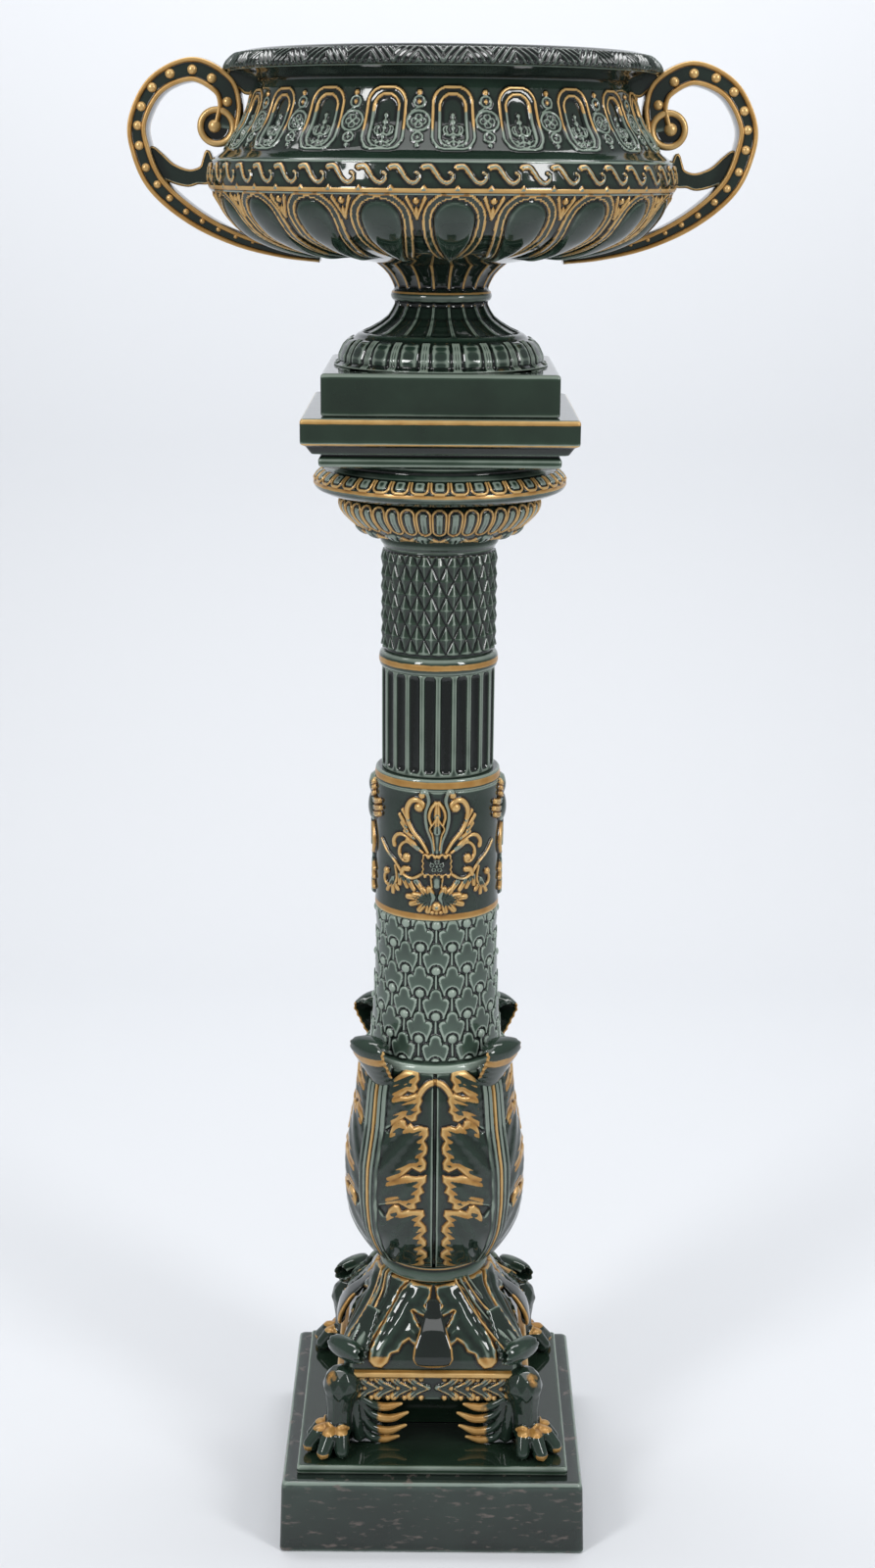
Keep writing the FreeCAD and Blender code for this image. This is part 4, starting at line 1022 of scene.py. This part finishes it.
def finish_mesh(mesh, gold, passes=8, scale=0.5, tone=0.0):
    """Stores how far each point stands out from those round it, and the gilding."""
    count = len(mesh.vertices)
    points = positions(mesh).astype(float) / MM
    normals = np.empty(count * 3, dtype=np.float32)
    mesh.vertices.foreach_get("normal", normals)
    edges = np.empty(len(mesh.edges) * 2, dtype=np.int32)
    mesh.edges.foreach_get("vertices", edges)
    a, b = edges.reshape(-1, 2).T
    degree = np.maximum(np.bincount(a, minlength=count) + np.bincount(b, minlength=count), 1)
    soft = points
    for _ in range(passes):
        around = np.stack([np.bincount(a, soft[b, k], count)
                           + np.bincount(b, soft[a, k], count) for k in range(3)], 1)
        soft = soft / 2 + around / degree[:, None] / 2
    edge = np.clip(np.sum((points - soft) * normals.reshape(-1, 3), 1) / scale, -1, 1)
    store(mesh, edge=edge, gold=gold, tone=np.full(count, tone))


def hood_gold(across, face, place):
    """Gilds a hood's lip and the two edges below it."""
    fold_line = smooth(place, 0.40, 0.45) * (1 - smooth(place, 0.50, 0.56)) * smooth(face, -0.1,
                                                                                     0.3)
    rim = smooth(np.abs(across), 0.9, 0.97) * smooth(place, 0.1, 0.3) * (1 - smooth(place, 0.62,
                                                                                    0.7))
    return np.clip(fold_line + rim, 0, 1)


for number, turn in enumerate((45, 135, 225, 315)):
    sweep(f"leaf_hood_{number}", [(82, 508), (93, 528), (103, 545), (108, 556), (105.5, 564.5),
                                  (97, 567), (87, 563), (79, 553)],
          [17, 22, 25, 26.5, 26, 23, 17, 8], [4.5, 4.5, 4.2, 3.8, 3.8, 3.8, 3.4, 2.4],
          "gilt_leaf_glaze", P, turn, hood_gold, keel=0.45, ripple=0.035)


SKIRT_INNER = [(1.5, 270), (3, 258), (8, 251), (3, 245), (3, 236), (12, 240), (23, 244), (17, 234),
               (11, 227), (12, 217), (20, 212), (27, 217), (34, 213), (38, 206), (46, 204),
               (50, 195), (57, 188.5), (66, 190), (72, 197), (71, 208), (65, 222), (55, 242),
               (40, 264), (28, 272)]
SKIRT_OUTER = [(30, 272), (44, 262), (58, 236), (70, 214), (76, 202), (84, 198), (94, 203),
               (110, 216), (110, 272)]


def draw_skirt(relief, angle, across, z):
    """Leaves that fan from the ring down to the corners, with gilt serrated edges."""
    x = np.abs(across)
    leaf = Relief(x, z)
    leaf.leaf(SKIRT_OUTER, 3.6, 2.0, 120.0, 0.10)
    leaf.leaf(SKIRT_INNER, 5.0, 2.4, 110.0, 0.16)
    tips = smooth(z, 207, 196) * smooth(x, 40, 50) * (1 - smooth(x, 72, 76)) * (leaf.height > 1)
    leaf.gold = np.maximum(leaf.gold, tips)
    relief.raise_to(leaf.height, leaf.height > 0, leaf.gold)
    for start, end, size, gold in (((26, 272), (80, 208), 1.3, 0.9),
                                   ((33, 272), (90, 212), 1.6, 0.0),
                                   ((40, 272), (98, 216), 1.3, 0.9),
                                   ((48, 271), (104, 224), 2.0, 0.0)):
        middle = ((start[0] + end[0]) / 2 - 7, (start[1] + end[1]) / 2 + 6)
        relief.line(curved([start, middle, end]), size, 5.4, gold, None, 0.2)
    relief.tone = relief.tone - 0.5 * smooth(3.0 - x, 0, 2)
    band(relief, z, 186, 187.6, 0.0, 0.3)


def build_skirt():
    """Round at the ring and square at the frieze."""
    rows, columns = 150, 1120
    reach, z, _ = profile([(57, 272), (60.6, 271.5), (66, 262), (74, 247), (84, 228), (93, 211),
                           (98, 199), (99.5, 188), (99.5, 186)], rows, 6)
    angle = np.arange(columns) / columns * TURN
    turn = fold(np.degrees(angle), 90)
    square = 1 / np.cos(np.radians(turn))
    share = smooth(z, 262, 204)[:, None]
    corner = np.minimum(square, 1.36)
    grow = 1 + (corner - 1) * share
    r = reach[:, None] * grow
    base = np.stack([r * np.sin(angle), -r * np.cos(angle), z[:, None] + 0 * r], 2)[::-1]
    across = (reach[:, None] * np.tan(np.radians(turn)))[::-1]
    relief = Relief(across, (z[:, None] + 0 * r)[::-1])
    draw_skirt(relief, turn, across, relief.y)
    inner = [circle_rows(r, h, columns)[0] for r, h in bore(186, 272)]
    skin("base_skirt", base, relief, "gilt_leaf_glaze", P, ["base_skirt"], inner)


build_skirt()


def tongue_gold(across, face, place):
    """Gilds the edge of a tongue, on its front."""
    rim = np.maximum(smooth(np.abs(across), 0.86, 0.95), smooth(place, 0.93, 0.97))
    return rim * smooth(place, 0.35, 0.5) * (face < 0.6)


for number, turn in enumerate((0, 90, 180, 270)):
    sweep(f"face_tongue_{number}", [(68, 256), (81, 240), (94, 227), (102.5, 214), (105.5, 204),
                                    (105.2, 198), (104, 194)], [8, 11, 16.5, 21.5, 22.5, 19, 9],
          [2, 3.4, 5, 5.4, 5.4, 4.6, 2.6], "gilt_leaf_glaze", P, turn, tongue_gold, keel=0.2,
          material="dark_glaze")
for number, turn in enumerate((45, 135, 225, 315)):
    sweep(f"corner_curl_{number}", [(92, 244), (108, 222), (122, 206), (133, 200), (141, 205),
                                    (142, 215), (134, 220), (127, 214)],
          [9, 14, 20, 24, 26, 24, 21, 18], [5, 5.5, 5.5, 5, 4.5, 4, 3.5, 3], "gilt_leaf_glaze", P,
          turn, None, keel=0.2, ripple=0.05)


# ---------------------------------------------------------------- the square base
def draw_frieze(relief, across, reach, z):
    """Laurel leaves that meet in the middle, under a projecting gilt fillet."""
    y = z - 164.0
    x = np.abs(across)
    leaf = Relief(x, y)
    for place in np.arange(5, 92, 18.5):
        for up in (1, -1):
            root, tip = (place, 0), (place + 20, 11.0 * up)
            leaf.frond(root, tip, 3.4, 5.0, 4.0, 0.94, 0.12 * up)
            leaf.line([root, (place + 13, 7.4 * up)], 0.9, 4.6, 0.9)
            leaf.ball(place + 8, 11.5 * up - 1, 3.0, 4.0, 1.0)
        leaf.ball(place + 15.5, 0, 3.2, 4.8, 1.0)
    shown = (y > -15) & (y < 15)
    relief.raise_to(leaf.height * 0.9, (leaf.height > 0) & shown, leaf.gold, 0.05)
    band(relief, z, 179.6, 186.4, 1.0)


block("frieze_block", [(90, 148), (97, 148.2), (98, 150), (98, 178), (99.5, 179.6), (106, 180),
                       (107, 182), (106.4, 185.4), (99, 186.2), (94, 186.2)], 230, 62, draw_frieze,
      "gilt_leaf_glaze", P, ["frieze_block"], bore(148, 186), 3.0, 6, 1.2)


def draw_step(relief, across, reach, z):
    relief.tone = relief.tone - 0.16 * (z > 95)
    band(relief, z, 87.4, 94.4, 0.0, 0.12)


block("base_step", [(100, 85), (147.6, 85.2), (149.4, 87), (149.4, 93.6), (147.6, 95.6), (120, 96)],
      50, 40, draw_step, "dark_glaze", P, ["base_step"], [(60, 96), (60, 85)], 3.0, 6, 1.2,
      material="green_glaze")


def draw_slab(relief, across, reach, z):
    relief.tone = relief.tone + 0.30 * smooth(z, 10, 78) - 0.42 * smooth(z, 83, 85) - 0.22


block("base_slab", [(152, 0), (167, 0.3), (168, 2), (165.6, 79), (164, 84), (160, 85.2),
                    (140, 85.2)], 60, 60, draw_slab, "green_glaze", P, ["base_slab"],
      [(130, 85), (130, 70), (153, 60)], 5.0, 7, 2.2, material="slab_glaze")
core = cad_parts["base_core"].data.materials
for index in range(len(core)):
    core[index] = MATERIALS["green_glaze"]


# ---------------------------------------------------------------- the paws
def balls_along(points, radii, step=1.6):
    """A string of balls, as (centre, radius), along a bent line."""
    along = lengths_of(points)
    place, even = evenly(points, max(2, int(along[-1] / step)))
    return list(zip(place, np.interp(even, along, radii)))


def baked(rough, name):
    """The mesh that an object shows. The object itself goes."""
    bpy.context.view_layer.update()
    shown = rough.evaluated_get(bpy.context.evaluated_depsgraph_get())
    mesh = bpy.data.meshes.new_from_object(shown)
    bpy.data.objects.remove(rough)
    mesh.name = name
    return mesh


def blob(name, balls, voxel, smoothing, gold):
    """One skin over a crowd of balls."""
    work = bmesh.new()
    for centre, radius in balls:
        bmesh.ops.create_icosphere(work, subdivisions=2, radius=radius * MM,
                                   matrix=Matrix.Translation(Vector(centre) * MM))
    mesh = bpy.data.meshes.new(name + "_rough")
    work.to_mesh(mesh)
    work.free()
    rough = placed(name + "_rough", mesh)
    remesh = rough.modifiers.new("skin", "REMESH")
    remesh.mode = "VOXEL"
    remesh.voxel_size = voxel * MM
    relax = rough.modifiers.new("relax", "SMOOTH")
    relax.iterations = smoothing
    relax.factor = 0.6
    made = baked(rough, name)
    made.shade_smooth()
    finish_mesh(made, gold(positions(made) / MM), 10, 0.7, -0.04)
    return made


# In the paw's own frame the leg stands at the origin, forward is the corner's diagonal (+X).
def paw_balls():
    balls = balls_along([(0, 0, 172), (2, 0, 158), (4, 0, 142), (5, 0, 128), (7, 0, 114)],
                        [20.5, 18, 14.5, 14.5, 15.5])
    balls += [((0, 0, 169), 22.0)]
    for spread_angle, reach_out in ((-52, 33), (-18, 40), (18, 40), (52, 33)):
        a = math.radians(spread_angle)
        d = np.array([math.cos(a), math.sin(a), 0])
        start = np.array([6, 0, 118]) + d * 8
        knuckle = np.array([4, 0, 117]) + d * reach_out * 0.62
        pad = np.array([4, 0, 105]) + d * reach_out * 0.92
        balls += balls_along([start, knuckle, pad], [9.5, 9.2, 7.8], 1.2)
        balls += [(np.array([4, 0, 104.5]) + d * reach_out * 0.84, 8.3)]
        balls += balls_along([pad + (0, 0, 1), pad + d * 5 + (0, 0, -5)], [3.4, 1.6], 0.8)
    for level in np.linspace(-1, 1, 15):
        a = level * 1.5
        balls.append((np.array([5 + 15.2 * math.cos(a), 15.2 * math.sin(a), 125 + 2.4
                                * math.cos(level * 9)]), 2.8))
    return balls


LOCKS = [
    [(22, 151), (36, 143), (50, 141), (66, 145)],
    [(20, 149), (33, 132), (53, 126.5), (73, 134)],
    [(18, 145), (30, 119), (50, 111), (71, 118)],
    [(15, 140), (27, 108), (44, 100.5), (63, 104)],
]


def lock_balls():
    """Four crescent locks on each side, laid along the two faces as (distance from the leg, z)."""
    balls = []
    for side in (-1, 1):
        for lock in LOCKS:
            bend = curved([(-0.707 * away, side * 0.707 * away, level) for away, level in lock], 8)
            wide = np.interp(np.linspace(0, 1, len(bend)), [0, 0.35, 0.75, 1], [3.6, 5.0, 4.6, 2.0])
            balls += balls_along(bend, wide, 1.1)
        balls += balls_along([(-9, side * 9, 146), (-13, side * 13, 106)], [8, 8])
    return balls


def paw_gold(points):
    x, y, z = points.T
    reach_out = np.hypot(x - 4, y)
    claw = smooth(reach_out, 37.5, 39) * (x > 2) * (z < 106)
    cuff = smooth(reach_out, 15.3, 16.8) * (np.abs(z - 126) < 4) * (x > 2)
    tips = smooth(np.hypot(x, y) * (x < -4), 28, 54)
    patch = 0.7 * np.exp(-((z - 181) ** 2 + (x - 13) ** 2 + y**2) / 130)
    return np.clip(claw + cuff * 0.8 + tips + patch, 0, 1)


paw_mesh = blob("paw_skin", paw_balls() + lock_balls(), 1.0, 5, paw_gold)
PAW_REACH = 0.1428
PAWS = (("paw_front_left", 225), ("paw_front_right", 315), ("paw_back_right", 45),
        ("paw_back_left", 135))
for name, turn in PAWS:
    paw = placed(name + "_skin", paw_mesh)
    a = math.radians(turn)
    paw.matrix_world = Matrix.Rotation(a, 4, "Z") @ Matrix.Translation((PAW_REACH, 0, 0))
    dress(paw, "dark_glaze", P, [name], "gilt_leaf_glaze")


# ---------------------------------------------------------------- the handles
FOOT = 1382.5
STRAP = [(214, 128, 24), (210, 152, 22.5), (218, 171, 23), (247, 184, 22), (282, 169, 19),
         (301, 136, 17.5), (299, 107, 18.5), (284, 74, 18), (249, 44, 16.5), (205, 22, 13),
         (160, 10, 10.5), (122, 5, 9)]
STUDS = [(225, 1513, 6.4), (212, 1536, 4.8), (227, 1558, 4.8), (246, 1566, 4.8), (268, 1562, 4.8),
         (286, 1549, 4.8), (297, 1531, 4.7), (301, 1513, 4.6), (300, 1494, 4.5), (294, 1473, 4.2),
         (283, 1457, 3.9), (271, 1444, 3.6), (255, 1431, 3.2), (239, 1422, 2.8), (223, 1414, 2.4),
         (206, 1407, 2.0), (189, 1402, 1.7)]
HALF_DEPTH = 22.0


def section(half, depth):
    """One closed outline of the strap, (across, y, gold), with a sunk channel front and back."""
    rim = min(4.2, half * 0.55)
    out = []
    face = np.linspace(-1, 1, 25)
    for sign in (-1, 1):
        for f in face * -sign:
            side = half * f
            inward = half - abs(side)
            sunk = 3.0 * float(smooth(inward, rim * 0.72, rim * 1.15))
            crown = 0.9
            if inward < rim:
                slope = (inward - rim * 0.45) / (rim * 0.62)
                crown = 0.9 * (1 - math.sqrt(max(0, 1 - slope**2)))
            gilt = 1.0 - float(smooth(inward, rim * 0.92, rim * 1.1))
            out.append((side, sign * (depth - min(sunk + crown, 3.4)), gilt))
        for g in np.linspace(-1, 1, 13)[1:-1]:
            swell = 1.2 * math.cos(g * math.pi / 2)
            out.append((-sign * (half + swell), sign * depth * -g * 0.96,
                        0.0 if abs(g) < 0.8 else 1.0))
    return np.array(out)


def build_handle(name, mirror):
    """The strap, swept along its curve."""
    line = curved([(x, z, w) for x, z, w in STRAP], 14)
    tangent = np.gradient(line[:, :2], axis=0)
    tangent /= np.linalg.norm(tangent, axis=1, keepdims=True)
    side = np.stack([-tangent[:, 1], tangent[:, 0]], 1)
    rings, golds = [], []
    for (x, z, wide), out in zip(line, side):
        shape = section(wide / 2, HALF_DEPTH)
        rings.append(np.stack([x + out[0] * shape[:, 0], shape[:, 1], FOOT + z + out[1]
                               * shape[:, 0]], 1))
        golds.append(shape[:, 2])
    points = np.array(rings)
    points[..., 0] *= mirror
    obj = tube(name + "_skin", points, np.concatenate([*golds, [0, 0]]), mirror > 0)
    dress(obj, "handle_glaze", U, [name])


def build_eye(name, mirror):
    """The rolled end of the strap: a thick disc, its rims gilt, its faces sunk."""
    radial = [(0, 18.4), (10.5, 18.4), (12.5, 18.6), (14, 21), (16, 22), (18, 21.4), (19.2, 19.5),
              (19.6, 10), (19.6, 0)]
    shape = np.array(radial + [(r, -y) for r, y in radial[-2::-1]])
    angle = np.arange(64) / 64 * TURN
    r, y = shape[:, 0][:, None], shape[:, 1][:, None]
    points = np.stack([mirror * (223 + r * np.cos(angle)), y + 0 * angle, FOOT + 130 + r
                       * np.sin(angle)], 2)
    rows, sides = points.shape[:2]
    index = np.arange(rows * sides).reshape(rows, sides)
    rolled = np.roll(index, -1, 1)
    quads = np.stack([index[:-1], index[1:], rolled[1:], rolled[:-1]], 2).reshape(-1, 4)
    gold = np.repeat(((shape[:, 0] > 13) & (np.abs(shape[:, 1]) > 15)).astype(float), sides)
    mesh = bpy.data.meshes.new(name)
    mesh.from_pydata((points.reshape(-1, 3) * MM).tolist(), [], quads.tolist())
    outward(mesh)
    finish_mesh(mesh, gold)
    dress(placed(name, mesh), "handle_glaze", U)


def build_studs(name, mirror):
    """Domed studs along the channel, on the front and the back."""
    work = bmesh.new()
    for x, z, radius in STUDS:
        for face in (-1, 1):
            at = Vector((mirror * x, face * (HALF_DEPTH - 3.4), z)) * MM
            grow = Matrix.Diagonal((1, 0.8, 1, 1))
            bmesh.ops.create_uvsphere(work, u_segments=20, v_segments=12, radius=radius * MM,
                                      matrix=Matrix.Translation(at) @ grow)
    mesh = bpy.data.meshes.new(name)
    work.to_mesh(mesh)
    work.free()
    mesh.shade_smooth()
    finish_mesh(mesh, np.ones(len(mesh.vertices)))
    dress(placed(name, mesh), "worn_gilding", U, (), "gilt_leaf_glaze")


TENDRIL = [(292, 1474), (282, 1466), (268, 1460), (254, 1457), (244, 1459.5), (234, 1460),
           (229, 1468), (231, 1482), (234, 1488), (237, 1480), (240, 1473), (249, 1469.5),
           (258, 1470.5), (270, 1476), (281, 1486), (290, 1491)]
CLASP = [(208, 1556), (210, 1562), (203, 1568), (194, 1569), (187, 1563), (184, 1554), (188, 1547),
         (194, 1546), (199, 1550)]


def build_flat(name, outline, half_depth, bevel, mirror, nodes, gilding):
    """A flat casting: its edge rounded, its faces sunk inside a gilt rim."""
    curve = bpy.data.curves.new(name, "CURVE")
    curve.dimensions = "2D"
    curve.fill_mode = "BOTH"
    curve.extrude = (half_depth - bevel) * MM
    curve.bevel_depth = bevel * MM
    curve.bevel_resolution = 5
    line = curve.splines.new("POLY")
    smoothed = curved(outline + [outline[0]], 5)[:-1]
    line.points.add(len(smoothed) - 1)
    for point, (x, z) in zip(line.points, smoothed):
        point.co = (x * MM, z * MM, 0, 1)
    line.use_cyclic_u = True
    rough = placed(name + "_rough", curve)
    mesh = baked(rough, name)
    mesh.transform(Matrix(((mirror, 0, 0, 0), (0, 0, -1, 0), (0, 1, 0, 0), (0, 0, 0, 1))))
    work = bmesh.new()
    work.from_mesh(mesh)
    flats = [face for face in work.faces if abs(face.normal.y) > 0.99]
    bmesh.ops.inset_region(work, faces=flats, thickness=0.9 * MM, use_even_offset=True)
    sunk = {corner for face in flats for corner in face.verts}
    for corner in sunk:
        corner.co.y *= 1 - 1.2 / half_depth
    work.verts.index_update()
    plain = [corner.index for corner in sunk]
    work.to_mesh(mesh)
    work.free()
    outward(mesh)
    depth = np.abs(positions(mesh)[:, 1]) / MM
    rim = smooth(depth, half_depth - bevel * 0.9, half_depth - bevel * 0.6)
    rim[plain] = 0
    finish_mesh(mesh, rim * gilding)
    dress(placed(name, mesh), "handle_glaze", U, nodes)


for side, mirror in (("left", -1), ("right", 1)):
    build_handle(f"handle_{side}", mirror)
    build_eye(f"handle_eye_{side}", mirror)
    build_studs(f"handle_studs_{side}", mirror)
    build_flat(f"tendril_{side}_skin", TENDRIL, 9, 2.4, mirror, [f"handle_tendril_{side}"], 0.6)
    build_flat(f"clasp_{side}_skin", CLASP, 17, 3.0, mirror, [f"handle_clasp_{side}"], 0.9)


# ---------------------------------------------------------------- floor, light and camera
def backdrop():
    """A pale paper that bends up behind the stand. A camera behind it looks through it."""
    graph = Graph("backdrop_paper")
    graph.set("Base Color", (0.66, 0.675, 0.70))
    graph.set("Roughness", 0.8)
    graph.set("Specular IOR Level", 0.1)
    seen = graph.times(graph.node("LightPath").outputs["Is Camera Ray"],
                       graph.node("NewGeometry").outputs["Backfacing"])
    choice = graph.node("MixShader")
    looks = (seen, graph.shader.outputs[0], graph.node("BsdfTransparent").outputs[0])
    for socket, value in zip(choice.inputs, looks):
        graph.feed(socket, value)
    graph.feed(graph.nodes["Material Output"].inputs["Surface"], choice.outputs[0])
    line = [(-3.0, 0), (1.6, 0)]
    line += [(1.6 + 0.9 * math.sin(t), 0.9 - 0.9 * math.cos(t)) for t in np.linspace(0.1,
                                                                                     math.pi / 2,
                                                                                     14)]
    line.append((2.5, 4.5))
    points = [(x, y, z) for y, z in line for x in (-5, 5)]
    faces = [(i, i + 1, i + 3, i + 2) for i in range(0, len(points) - 2, 2)]
    mesh = bpy.data.meshes.new("backdrop")
    mesh.from_pydata(points, [], faces)
    mesh.shade_smooth()
    mesh.materials.append(graph.material)
    return placed("backdrop", mesh)


backdrop()


def softbox(name, place, target, wide, tall, power):
    light = bpy.data.lights.new(name, "AREA")
    light.shape = "RECTANGLE"
    light.size, light.size_y = wide, tall
    light.energy = power
    obj = placed(name, light)
    obj.location = place
    obj.rotation_euler = (Vector(target) - Vector(place)).to_track_quat("-Z", "Y").to_euler()


softbox("key_left", (-1.7, -1.9, 2.3), (0, 0, 0.8), 0.55, 1.3, 38)
softbox("key_right", (1.8, -1.7, 2.2), (0, 0, 0.8), 0.55, 1.3, 34)
softbox("top_fill", (0, -0.2, 3.6), (0, 0, 0), 2.4, 2.4, 42)
softbox("wall_light", (0, 0.6, 3.4), (0, 2.4, 1.0), 4.0, 0.8, 60)

world = bpy.data.worlds.new("studio")
bpy.context.scene.world = world
world.use_nodes = True
sky = world.node_tree.nodes["Background"].inputs
sky["Color"].default_value = (0.86, 0.88, 0.91, 1)
sky["Strength"].default_value = 0.42

EYE = (0, -2.2975, 1.4771)
LOOKING_DOWN, ROLL = 15.6, 0.45  # degrees
lens = bpy.data.cameras.new("camera")
lens.lens = 50.85
lens.sensor_width = 36
camera = placed("camera", lens)
camera.matrix_world = (Matrix.Translation(EYE)
                       @ Matrix.Rotation(math.radians(90 - LOOKING_DOWN), 4, "X")
                       @ Matrix.Rotation(math.radians(ROLL), 4, "Z"))
bpy.context.scene.camera = camera
bpy.context.scene.view_settings.view_transform = "Standard"

bpy.context.view_layer.update()
